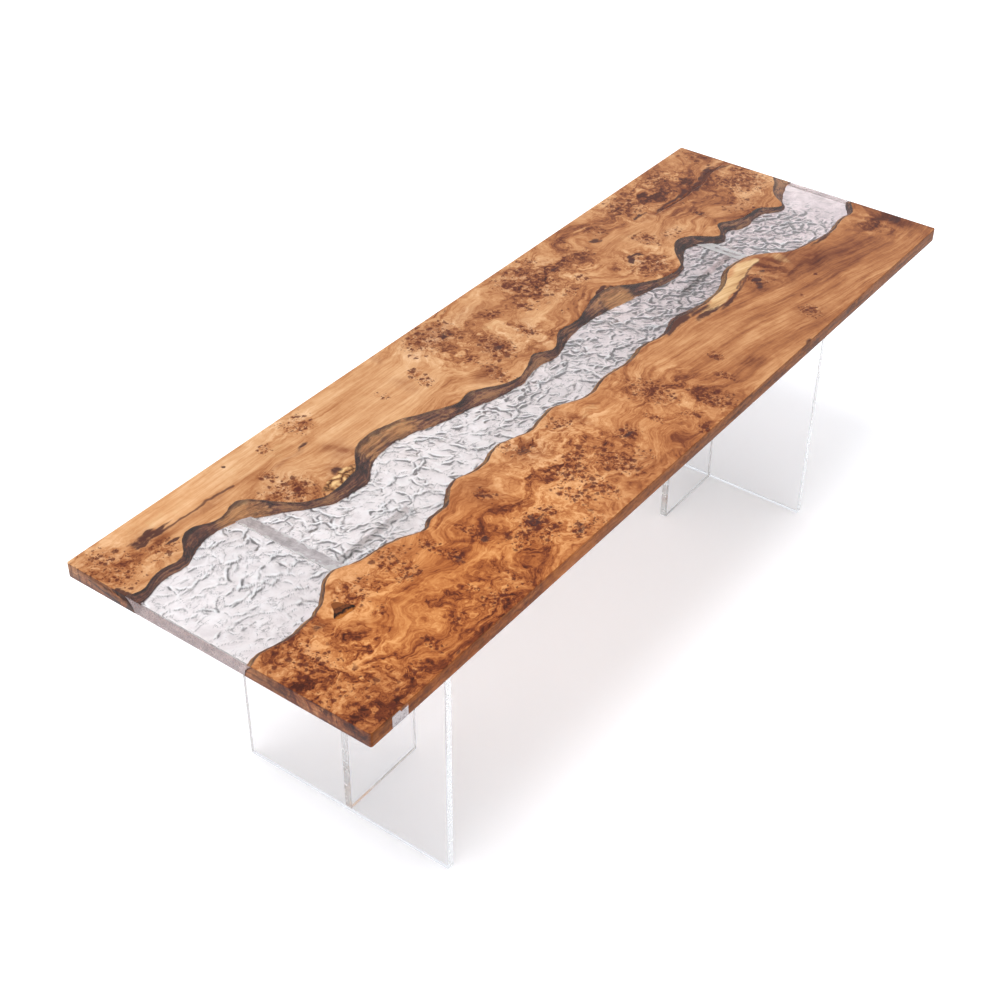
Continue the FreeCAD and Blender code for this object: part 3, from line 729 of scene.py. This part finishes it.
def brushed_bar():
    """Brushed aluminium, its lines along the bar, with pale smears of resin."""
    n = Nodes("brushed_bar")
    here = n.place()
    lines = n.grey(n.place((900, 12, 900)), 1.0, 3.0, 0.6)
    smear = n.grey(n.shift(here, n.tangle(here, 30.0), 0.05), 42.0, 4.0, 0.65)
    tone = n.plus(0.5, n.share(lines, 0.7), n.share(smear, 1.6))
    colour = n.ramp(tone, [
        (0.2, (0.50, 0.45, 0.465)), (0.55, (0.76, 0.70, 0.715)), (0.85, (0.96, 0.92, 0.93)),
    ])
    n.set(Base_Color=colour, Metallic=1.0, Roughness=n.ease(lines, 0.3, 0.7, 0.32, 0.48))
    n.bump(lines, 0.15, 0.0004)
    return n.material


def screw_steel():
    """Zinc-plated steel with a faint bluish grain."""
    n = Nodes("screw_steel")
    grain = n.grey(n.place(), 420.0, 3.0)
    colour = n.ramp(grain, [(0.3, (0.42, 0.43, 0.45)), (0.7, (0.66, 0.66, 0.68))])
    n.set(Base_Color=colour, Metallic=1.0, Roughness=n.ease(grain, 0.3, 0.7, 0.25, 0.4))
    n.bump(grain, 0.1, 0.0003)
    return n.material


def studio_floor():
    """White paper over a light table, so that shadows stay faint."""
    n = Nodes("studio_floor")
    paper = n.grey(n.place(), 3.0, 2.0)
    colour = n.ramp(paper, [(0.2, (0.860, 0.879, 0.922)), (0.8, (0.890, 0.909, 0.952))])
    n.set(Base_Color=colour, Roughness=0.9, Specular_IOR_Level=0.1)
    n.set(Emission_Color=(0.96, 0.985, 1, 1), Emission_Strength=0.33)
    return n.material


def bank_line(height, side):
    """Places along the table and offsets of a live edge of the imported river, at one height."""
    slack = 0.05 * MM
    found = []
    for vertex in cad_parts["river_casting"].data.vertices:
        if abs(vertex.co.z - height) < slack and side * (vertex.co.y - RIVER_MIDDLE) > 0:
            found.append((vertex.co.x, vertex.co.y))
    found = sorted(set(found))
    return np.array(found).T


def bank_surface(side):
    """A function that gives a live edge's offset at places along the table and a share of the height."""
    lines = [bank_line(height, side) for height in (UNDERSIDE, (UNDERSIDE + TOP) / 2, TOP)]

    def offset(places, share):
        low, middle, high = (np.interp(places, *line) for line in lines)
        ragged = sum(depth * lumps(places, side, 0.01 * share, count) for depth, count in BANK_BAYS)
        if share < 0.5:
            return low + (middle - low) * share * 2 + ragged
        return middle + (high - middle) * (share * 2 - 1) + ragged

    return offset


def stations():
    """Places along the table: even steps, closer together at the rounded ends and beside the bars."""
    rounding = np.array([0, 0.3, 0.9, 1.7, 2.5, 4, 6]) * MM
    even = np.arange(NEAR_END + 9 * MM, FAR_END - 8 * MM, TOP_STEP)
    beside = []
    for bar in BARS:
        low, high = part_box(bar)
        start, end = low.x - BAR_CLEARANCE, high.x + BAR_CLEARANCE
        beside += [start - 0.1 * MM, start, end, end + 0.1 * MM]
    return np.unique(np.concatenate([NEAR_END + rounding, even, FAR_END - rounding, beside]).round(6))


def arc_inset(distance, radius):
    """How far a rounded edge lies inside its corner, at a distance from the end."""
    inside = np.clip(radius - distance, 0, radius)
    return radius - np.sqrt(radius**2 - inside**2)


def faces_at(places):
    """Distance to the nearer end, and heights of the top and underside with their eased ends."""
    end_distance = np.minimum(places - NEAR_END, FAR_END - places)
    eased = arc_inset(end_distance, ARRIS)
    return end_distance, TOP - eased, UNDERSIDE + eased


def row_of(places, offset, height):
    """Points of one line along the table."""
    return np.stack(np.broadcast_arrays(places, offset, height), axis=1)


def lumps(places, offset, height, scale):
    """Smooth noise from -1 to 1 at points given as arrays."""
    points = zip(*np.broadcast_arrays(places, offset, height))
    return np.array([noise.noise(Vector(point) * scale) for point in points])


def rough_depth(places, offset, height, broad, fine):
    """Broad lumps with finer ones on them, from 0 to 1."""
    rough = lumps(places, offset, height, broad) + 0.6 * lumps(places, offset, height, fine)
    return np.clip(0.5 + 0.5 * rough, 0, 1)


def film_lumps(film, level, scale):
    """Smooth noise from -1 to 1 at the points of the crumpled film."""
    flat = film.reshape(-1, 3)
    return lumps(flat[:, 0], flat[:, 1], level, scale).reshape(film.shape[:2])


def pick(piece):
    """Select one piece alone and make it the active one."""
    bpy.ops.object.select_all(action="DESELECT")
    piece.select_set(True)
    bpy.context.view_layer.objects.active = piece


def wrapped_sheet(name, rows, finishes, materials):
    """A grid wrapped round a section that runs along the table, with its ends filled.

    Each row of points is one line along the table, and the last row meets the first. A face takes
    the finish of the row that it starts from.
    """
    rows = np.array(rows)
    columns = rows.shape[1]
    bpy.ops.object.select_all(action="DESELECT")
    bpy.ops.mesh.primitive_grid_add(x_subdivisions=columns - 1, y_subdivisions=len(rows) - 1, size=2)
    piece = bpy.context.object
    piece.name = piece.data.name = name
    mesh = piece.data
    for material in materials:
        mesh.materials.append(material)
    flat = np.empty(len(mesh.vertices) * 3)
    mesh.vertices.foreach_get("co", flat)
    flat = flat.reshape(-1, 3)
    column = np.rint((flat[:, 0] + 1) / 2 * (columns - 1)).astype(int)
    row = np.rint((flat[:, 1] + 1) / 2 * (len(rows) - 1)).astype(int)
    corners = np.empty(len(mesh.loops), int)
    mesh.loops.foreach_get("vertex_index", corners)
    first_row = row[corners].reshape(-1, 4).min(axis=1)
    mesh.polygons.foreach_set("material_index", np.array(finishes)[first_row])
    mesh.vertices.foreach_set("co", rows[row, column].ravel())
    mesh.update()
    bpy.ops.object.mode_set(mode="EDIT")
    bpy.ops.mesh.select_all(action="SELECT")
    bpy.ops.mesh.remove_doubles(threshold=MERGE_REACH)
    bpy.ops.mesh.select_all(action="SELECT")
    bpy.ops.mesh.fill_holes(sides=0)
    bpy.ops.mesh.select_all(action="SELECT")
    bpy.ops.mesh.normals_make_consistent(inside=False)
    bpy.ops.object.mode_set(mode="OBJECT")
    for face in mesh.polygons:
        if len(face.vertices) > 4:
            face.material_index = 0
    return piece


def merged_copy(node):
    """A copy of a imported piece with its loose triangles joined, to cut with."""
    copy = bpy.data.objects.new("cutter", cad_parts[node].data.copy())
    copy.data.materials.clear()
    bpy.context.scene.collection.objects.link(copy)
    pick(copy)
    bpy.ops.object.mode_set(mode="EDIT")
    bpy.ops.mesh.select_all(action="SELECT")
    bpy.ops.mesh.remove_doubles(threshold=MERGE_REACH)
    bpy.ops.object.mode_set(mode="OBJECT")
    return copy


def open_outwards(cutter, margin=1 * MM):
    """Let a cutter run a little past the faces of the board that it touches."""
    for vertex in cutter.data.vertices:
        if vertex.co.z > TOP - 0.1 * MM:
            vertex.co.z += margin
        if vertex.co.z < UNDERSIDE + ARRIS:
            vertex.co.z = UNDERSIDE - margin
        if vertex.co.y < RIGHT_SIDE + ARRIS:
            vertex.co.y = RIGHT_SIDE - margin
    return cutter


def bar_recess(node):
    """A block of the size of a mounting bar and its clearance, open to the underside."""
    low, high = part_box(node)
    bpy.ops.object.select_all(action="DESELECT")
    bpy.ops.mesh.primitive_cube_add(size=1, location=(low + high) / 2)
    block = bpy.context.object
    block.scale = high - low + Vector((2, 2, 2)) * BAR_CLEARANCE
    bpy.ops.object.transform_apply(location=True, rotation=False, scale=True)
    for vertex in block.data.vertices:
        vertex.co.z = high.z if vertex.co.z > high.z - MM else low.z - MM
    return block


def carve(piece, cutters):
    """Take the cutters out of a piece and throw them away."""
    for cutter in cutters:
        pick(piece)
        bpy.ops.object.modifier_add(type="BOOLEAN")
        modifier = piece.modifiers[-1]
        modifier.operation = "DIFFERENCE"
        modifier.solver = "MANIFOLD"
        modifier.object = cutter
        bpy.ops.object.modifier_apply(modifier=modifier.name)
        bpy.data.objects.remove(cutter)


def soften(piece, degrees=30):
    """Shade a piece smooth, apart from edges sharper than an angle."""
    pick(piece)
    bpy.ops.object.shade_smooth_by_angle(angle=math.radians(degrees))


def hold(piece, node):
    """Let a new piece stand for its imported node."""
    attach(piece, "root")
    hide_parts(node)


def patch_reach(points, patches):
    """For each soft round patch, how far the points lie from it in its own size, squared."""
    for x, y, along, across, strength in patches:
        reach = ((points[:, 0] - x) / along) ** 2 + ((points[:, 1] - y) / across) ** 2
        yield strength, reach


def spread(points, patches):
    """Strength of soft round patches at points of the top, the strongest one at each point."""
    total = np.zeros(len(points))
    for strength, reach in patch_reach(points, patches):
        total = np.maximum(total, strength * np.exp(-PATCH_FALL * reach**1.5))
    return total


def summed(points, patches):
    """Strength of soft round patches, added up, with lighter and darker ones."""
    total = np.zeros(len(points))
    for strength, reach in patch_reach(points, patches):
        total += strength * np.exp(-PATCH_FALL * reach)
    return total


def line_distance(points, lines, limit=20.0):
    """Millimetres from each point to the nearest of several lines, up to a limit."""
    nearest = np.full(len(points), limit)
    for line in lines:
        for start, end in zip(np.array(line, float), np.array(line[1:], float)):
            way = end - start
            share = np.clip((points - start) @ way / (way @ way), 0, 1)
            nearest = np.minimum(nearest, np.linalg.norm(points - start - share[:, None] * way, axis=1))
    return nearest


def set_attribute(piece, name, values):
    """Keep a value at each point of a piece for its finishes to read."""
    layer = piece.data.attributes.new(name, "FLOAT", "POINT")
    layer.data.foreach_set("value", np.asarray(values, np.float32))


def figure(piece, side):
    """Lay the figure of the wood on a slab, its outlines a little wavy."""
    flat = np.empty(len(piece.data.vertices) * 3)
    piece.data.vertices.foreach_get("co", flat)
    points = flat.reshape(-1, 3)[:, :2]
    sway = []
    for level in (0.3, 0.8):
        sway.append(sum(reach * lumps(*points.T, level, waves) for reach, waves in FIGURE_SWAY))
    straight = points / MM
    points = straight + np.array(sway).T
    for name, patches in FIGURE.items():
        set_attribute(piece, name, spread(points, patches))
    set_attribute(piece, "tone", summed(points, TONE_PATCHES))
    set_attribute(piece, "line", line_distance((straight + points) / 2, DARK_LINES))
    bark = spread(points, BARK_PATCHES) if side < 0 else 1.0
    set_attribute(piece, "bark", np.broadcast_to(bark, len(points)))


def make_slab(node, side, outer, bank, cutters, materials):
    """A slab with its flat faces, eased outer edges and rough live edge."""
    places = stations()
    end_distance, high, low = faces_at(places)
    edge = outer - side * arc_inset(end_distance, CORNER)
    flat_edge = edge - side * ARRIS
    rows, finishes = [], []

    for share in np.linspace(0, 1, BANK_ROWS):
        offset = bank(places, share)
        height = low + (high - low) * share
        # The relief fades close to the top and the underside
        fade = min(1.0, 4 * share, 4 * (1 - share))
        relief = BARK_RELIEF * fade * rough_depth(places, offset, height, *BARK_LUMPS)
        rows.append(row_of(places, offset - side * relief, height))
        finishes.append(1)
    finishes[-1] = 0
    inner = bank(places, 1.0)
    for share in np.linspace(0, 1, SLAB_TOP_ROWS)[1:]:
        rows.append(row_of(places, inner + (flat_edge - inner) * share, high))
    for angle in np.radians([30, 60, 90]):
        offset = edge - side * ARRIS * (1 - math.sin(angle))
        rows.append(row_of(places, offset, high - ARRIS * (1 - math.cos(angle))))
    for share in (0.33, 0.67, 1.0):
        rows.append(row_of(places, edge, high - ARRIS - (high - low - 2 * ARRIS) * share))
    for angle in np.radians([60, 30, 0]):
        offset = edge - side * ARRIS * (1 - math.sin(angle))
        rows.append(row_of(places, offset, low + ARRIS * (1 - math.cos(angle))))
    inner = bank(places, 0.0)
    for share in np.linspace(0, 1, SLAB_UNDERSIDE_ROWS)[1:]:
        rows.append(row_of(places, flat_edge + (inner - flat_edge) * share, low))
    finishes += [0] * (len(rows) - len(finishes))

    slab = wrapped_sheet(node + "_wood", rows, finishes, materials)
    carve(slab, cutters)
    figure(slab, side)
    soften(slab)
    hold(slab, node)


def make_creases():
    """Folds of the crumpled film: short curved strokes, strewn evenly and mostly leaning one way."""
    draw = np.random.default_rng(CREASE_SEED)
    creases = []
    x = NEAR_END
    while x < CRINKLE_END:
        # The folds are finer and straighter towards the far end
        size = np.interp(x, *FOLD_SIZE)
        for y in np.arange(river_low.y, river_high.y, size * CREASE_SPACING):
            place = np.array([x, y]) + draw.uniform(-0.6, 0.6, 2) * size * CREASE_SPACING
            drift = noise.noise(Vector((*place, 4.0)) * 5) * LEAN_DRIFT * size
            lean = math.radians(drift + draw.normal(CREASE_LEAN, LEAN_SCATTER * size))
            half = draw.uniform(*FOLD_HALF_LENGTH) * MM * size**0.5
            bow = draw.uniform(-FOLD_BOW, FOLD_BOW) * size
            strength = draw.uniform(0.3, 1.0) * np.interp(x, *FOLD_STRENGTH)
            # The film lies smoother in the near right corner
            from_corner = math.hypot(place[0] - NEAR_END, place[1] - river_low.y - SMOOTH_OFFSET)
            strength *= SMOOTH_FOLDS + (1 - SMOOTH_FOLDS) * min(1.0, from_corner / SMOOTH_REACH)
            for _ in range(FOLD_PARTS):
                creases.append((place, lean, half, bow, strength))
                # The fold turns sharply and runs on
                way = np.array([math.cos(lean), math.sin(lean)])
                lean += math.radians(draw.uniform(*FOLD_TURN)) * size * draw.choice([-1, 1])
                further = half * draw.uniform(0.45, 0.95)
                onward = np.array([math.cos(lean), math.sin(lean)])
                place = place + 0.9 * half * way + 0.8 * further * onward
                half = further
                strength *= draw.uniform(0.5, 1.0)
        x += size * CREASE_SPACING
    return creases


def crumple(points):
    """The film at points of the underside: its height, painted shade on the folds and in their hollows,
    and painted highlights on the ridges. Each goes from 0 to 1.
    """
    height = 0.45 + 0.4 * (0.5 * film_lumps(points, 2.0, 24) + 0.3 * film_lumps(points, 5.0, 60))
    wander = FOLD_WANDER * film_lumps(points, 8.0, FOLD_WAVES)
    painted_fold_shade, hollow, painted_ridge_highlight = np.zeros((3, *points.shape[:2]))
    for place, lean, half, bow, strength in make_creases():
        first, last = np.searchsorted(points[0, :, 0], [place[0] - 1.6 * half, place[0] + 1.6 * half])
        if last - first < 2:
            continue
        part = (slice(None), slice(first, last))
        gap = points[part][..., :2] - place
        along = (gap[..., 0] * math.cos(lean) + gap[..., 1] * math.sin(lean)) / half
        across = gap[..., 1] * math.cos(lean) - gap[..., 0] * math.sin(lean) + wander[part]
        across = (across - bow * MM * (along**2 - 0.4)) / MM
        taper = np.clip(1 - along**2, 0, 1)
        steep = np.exp(-np.maximum(across, 0) / STEEP_SIDE)
        below = steep * np.exp(np.minimum(across, 0) / GENTLE_SIDE) * taper
        height[part] -= 0.4 * strength * below
        hollow[part] = np.maximum(hollow[part], strength * below)
        # Folds grow wider towards the far end, and the painted ridge highlights fainter
        width = (1.6 + 1.6 * strength) * np.interp(place[0], *FOLD_WIDENING)
        fold = strength * taper**0.6 * np.exp(-((across / width) ** 2))
        painted_fold_shade[part] = np.maximum(painted_fold_shade[part], fold)
        ridge = strength * taper * np.exp(-(((across - width - RIDGE_OFFSET) / RIDGE_WIDTH) ** 2))
        ridge = ridge * np.interp(place[0], *RIDGE_STRENGTH)
        painted_ridge_highlight[part] = np.maximum(painted_ridge_highlight[part], ridge)
        height[part] += 0.25 * ridge
    return np.clip(height, 0, 1), painted_fold_shade, hollow, painted_ridge_highlight


def bar_cover(film, bars, right_foot):
    """Where the cloudy film creeps over the bars: unevenly along their edges and by the right bank."""
    uneven = film_lumps(film, 11.0, 45) + 0.6 * film_lumps(film, 14.0, 120)
    covered = np.zeros(film.shape[:2], bool)
    for (low, high), reach in zip(bars, BAR_SMEARS):
        half = (high.x - low.x) / 2
        inside = half - abs(film[..., 0] - (low.x + high.x) / 2)
        covered |= (inside > -MM) & (inside < reach + SMEAR_WANDER * uneven)
    from_right = film[..., 1] - right_foot
    return covered | (from_right < RIGHT_SMEAR * (1 + uneven))


def bank_sink(share):
    """How deep a side of the river lies in the wood, at a share of the height: less close to the top."""
    return BANK_SINK * min(1.0, 6 * (1 - share))


def make_river(left, right, materials):
    """The poured river: flat on top, crinkled underneath, flat where the mounting bars lie."""
    bars = [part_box(bar) for bar in BARS]
    places = stations()
    end_distance, high, low = faces_at(places)
    over_bar = np.zeros(len(places), bool)
    for bar_low, bar_high in bars:
        over_bar |= (places > bar_low.x - BAR_REACH) & (places < bar_high.x + BAR_REACH)
    bar_top = bars[0][1].z
    smooth = np.clip((CRINKLE_END - places) / CRINKLE_FADE, 0, 1) * np.clip(end_distance / END_FADE, 0, 1)

    rows, finishes = [], []
    left_top, right_top = left(places, 1.0), right(places, 1.0)
    for share in np.linspace(0, 1, RIVER_TOP_ROWS):
        rows.append(row_of(places, left_top + (right_top - left_top) * share, high))
        finishes.append(0)
    for share in np.linspace(1, 0, BANK_ROWS)[1:-1]:
        rows.append(row_of(places, right(places, share) - bank_sink(share), low + (high - low) * share))
        finishes.append(0)
    left_foot, right_foot = left(places, 0.0) + BANK_SINK, right(places, 0.0) - BANK_SINK
    film = []
    for share in np.linspace(0, 1, RIVER_UNDERSIDE_ROWS):
        film.append(row_of(places, right_foot + (left_foot - right_foot) * share, low))
    film = np.array(film)
    height, *marks = crumple(film)
    film[:, :, 2] += FILM_LIFT + CRINKLE_HEIGHT * height * smooth
    covered = bar_cover(film, bars, right_foot)
    film[:, over_bar, 2] = np.where(covered, bar_top + SMEAR_LIFT, bar_top - BAR_BED)[:, over_bar]
    rows += list(film)
    finishes += [1] * (len(film) - 1) + [0]
    for share in np.linspace(0, 1, BANK_ROWS)[1:]:
        rows.append(row_of(places, left(places, share) + bank_sink(share), low + (high - low) * share))
        finishes.append(0)
    river = wrapped_sheet("poured_river", rows, finishes, materials)

    # Points of the mesh find their marks by their places
    marks.append(np.ones(film.shape[:2]))
    strengths = zip(*[(mark * smooth).ravel() for mark in marks])
    at_place = dict(zip(map(tuple, film.reshape(-1, 3).round(5)), strengths))
    corners = [tuple(np.round(vertex.co, 5)) for vertex in river.data.vertices]
    found = [at_place.get(corner, (0.0,) * len(marks)) for corner in corners]
    for name, values in zip(("painted_fold_shade", "hollow", "painted_ridge_highlight", "crumpled"), zip(*found)):
        set_attribute(river, name, values)

    # The near end is sanded, and over the bars the film is clear or smeared
    shown = set(map(tuple, film[(~covered) & over_bar].round(5)))
    smeared = set(map(tuple, film[covered & over_bar].round(5)))
    for face in river.data.polygons:
        around = [corners[corner] for corner in face.vertices]
        if len(around) > 4:
            face.material_index = 2 if face.center.x < 0 else 0
        elif all(corner in shown for corner in around):
            face.material_index = 0
        elif all(corner in shown or corner in smeared for corner in around):
            face.material_index = 3
    soften(river, 40)
    hold(river, "river_casting")


def panel_section(reach, depth):
    """The outline of a panel seen from above, as distances from its middle along and through it."""
    corner = []
    for angle in np.radians([0, 30, 60, 90]):
        across = reach - PANEL_BEVEL * (1 - math.sin(angle))
        corner.append((across, depth - PANEL_BEVEL * (1 - math.cos(angle))))
    edge = [(reach, depth * share) for share in (0.5, 0.0, -0.5)]
    flat = [(0.0, depth), (reach - 2.5 * PANEL_BEVEL, depth)]
    half = flat + corner + edge + [(a, -b) for a, b in reversed(flat[1:] + corner)]
    return half + [(-a, -b) for a, b in half]


def make_panel(node, gaps, materials):
    """A clear panel with eased corners and rippled thin edges, a hair clear of its bonded joint."""
    low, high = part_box(node)
    low, high = low + gaps[0], high + gaps[1]
    middle, half = (low + high) / 2, (high - low) / 2
    thin = 0 if half.x < half.y else 1
    reach, depth = half[1 - thin], half[thin]
    ends = PANEL_BEVEL * np.array([0, 0.3, 1, 2.5])
    even = np.arange(low.z + 8 * MM, high.z - 6 * MM, PANEL_STEP)
    heights = np.concatenate([low.z + ends, even, high.z - ends[::-1]])
    inset = arc_inset(np.minimum(heights - low.z, high.z - heights), PANEL_BEVEL)

    rows, finishes = [], []
    for a, b in panel_section(reach, depth):
        on_edge = abs(a) > reach - MERGE_REACH
        across = np.sign(a) * (abs(a) - inset)
        if on_edge:
            dents = EDGE_RIPPLE * rough_depth(middle.x + a, middle.y + b, heights, *EDGE_LUMPS)
            across = across - np.sign(a) * dents
        through = np.sign(b) * (abs(b) - np.minimum(inset, abs(b)))
        row = np.empty((len(heights), 3))
        row[:, 1 - thin] = middle[1 - thin] + across
        row[:, thin] = middle[thin] + through
        row[:, 2] = heights
        rows.append(row)
        finishes.append(1 if on_edge and b > -depth + PANEL_BEVEL * 1.01 else 0)
    rows.append(rows[0])
    panel = wrapped_sheet(node + "_clear", rows, finishes, materials)
    # The stems' tops take the matt white that paints in their brightness under the resin
    for face in panel.data.polygons:
        if "stem" in node and len(face.vertices) > 4 and face.center.z > middle.z:
            face.material_index = 2
    soften(panel, 20)
    hold(panel, node)


def dress_packed(node, material):
    """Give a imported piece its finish."""
    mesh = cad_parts[node].data
    mesh.materials.clear()
    mesh.materials.append(material)


def make_floor():
    """A wide plain floor of pale paper."""
    bpy.ops.object.select_all(action="DESELECT")
    bpy.ops.mesh.primitive_plane_add(size=FLOOR_SIZE, location=(0, 0, 0))
    floor = bpy.context.object
    floor.name = "studio_floor"
    floor.data.materials.append(studio_floor())


def make_light():
    """A bright even studio: a pale dome with a greyer belt, and a soft lamp over the near end."""
    scene = bpy.context.scene
    world = bpy.data.worlds.new("studio")
    scene.world = world
    world.use_nodes = True
    tree = world.node_tree
    coordinates = tree.nodes.new("ShaderNodeTexCoord")
    split = tree.nodes.new("ShaderNodeSeparateXYZ")
    ramp = tree.nodes.new("ShaderNodeValToRGB")
    fill_ramp(ramp, [(position, (grey, grey, grey)) for position, grey in DOME])
    tree.links.new(coordinates.outputs["Generated"], split.inputs[0])
    tree.links.new(split.outputs[2], ramp.inputs[0])
    tree.links.new(ramp.outputs[0], tree.nodes["Background"].inputs["Color"])

    lamp = bpy.data.lights.new("overhead", "SUN")
    lamp.angle = LAMP_SPREAD
    lamp.energy = LAMP_POWER
    holder = bpy.data.objects.new("overhead", lamp)
    holder.location = LAMP_PLACE
    holder.rotation_euler = (LAMP_AIM - LAMP_PLACE).to_track_quat("-Z", "Y").to_euler()
    # The lamp shows in no gloss, so that the resin mirrors the even dome
    holder.visible_glossy = False
    scene.collection.objects.link(holder)

    scene.view_settings.view_transform = "Standard"
    # Light passes to and fro many times in the clear panels
    scene.cycles.max_bounces = 32
    scene.cycles.diffuse_bounces = 8
    scene.cycles.glossy_bounces = 24
    scene.cycles.transmission_bounces = 24


def make_camera():
    """The camera at the photograph's viewing angle."""
    heading, pitch, roll = CAMERA_HEADING, CAMERA_PITCH, CAMERA_ROLL
    ahead = Vector((
        math.sin(heading) * math.cos(pitch), math.cos(heading) * math.cos(pitch), -math.sin(pitch),
    ))
    level = Vector((math.cos(heading), -math.sin(heading), 0))
    upright = level.cross(ahead)
    right = level * math.cos(roll) + upright * math.sin(roll)
    up = upright * math.cos(roll) - level * math.sin(roll)
    data = bpy.data.cameras.new("camera")
    data.lens = CAMERA_LENS
    data.sensor_width = CAMERA_SENSOR
    camera = bpy.data.objects.new("camera", data)
    camera.location = CAMERA_PLACE
    camera.rotation_euler = Matrix((right, up, -ahead)).transposed().to_euler()
    bpy.context.scene.collection.objects.link(camera)
    bpy.context.scene.camera = camera


make_camera()
make_light()
make_floor()

wood = [burl_wood(), live_edge_bark()]
resin = clear_cast("clear_resin", tint=(0.985, 0.985, 0.99), ior=1.5, haze=0.03)
acrylic = clear_cast("clear_acrylic", tint=(0.965, 0.965, 0.97), ior=1.49, haze=0.02)
metal = brushed_bar()

left_bank, right_bank = bank_surface(1), bank_surface(-1)
left_cutters = [bar_recess(bar) for bar in BARS] + [open_outwards(merged_copy("crack_fill"))]
make_slab("left_slab", 1, LEFT_SIDE, left_bank, left_cutters, wood)
right_cutters = [bar_recess(bar) for bar in BARS]
right_cutters += [open_outwards(merged_copy(fill)) for fill in ("knot_pocket_fill", "edge_void_fill")]
make_slab("right_slab", -1, RIGHT_SIDE, right_bank, right_cutters, wood)
make_river(left_bank, right_bank, [
    resin, crinkled_resin(), sanded_resin("sanded_resin", (0.72, 0.54, 0.52), 0.7), milky_resin(),
])

dress_packed("crack_fill", crack_resin())
dress_packed("knot_pocket_fill", pocket_resin())
dress_packed("edge_void_fill", sanded_resin("chip_resin", (0.76, 0.69, 0.68), 0.15))
for bar in BARS:
    dress_packed(bar, metal)
dress_packed("bar_screws", screw_steel())
panel_finishes = [acrylic, sawn_acrylic(), frosted_acrylic()]
for end, joint in (("near", 0), ("far", 1)):
    make_panel(f"{end}_cross_panel", (Vector(), Vector()), panel_finishes)
    gaps = [Vector(), Vector()]
    gaps[joint] = Vector((BOND_GAP if joint == 0 else -BOND_GAP, 0, 0))
    make_panel(f"{end}_stem_panel", gaps, panel_finishes)
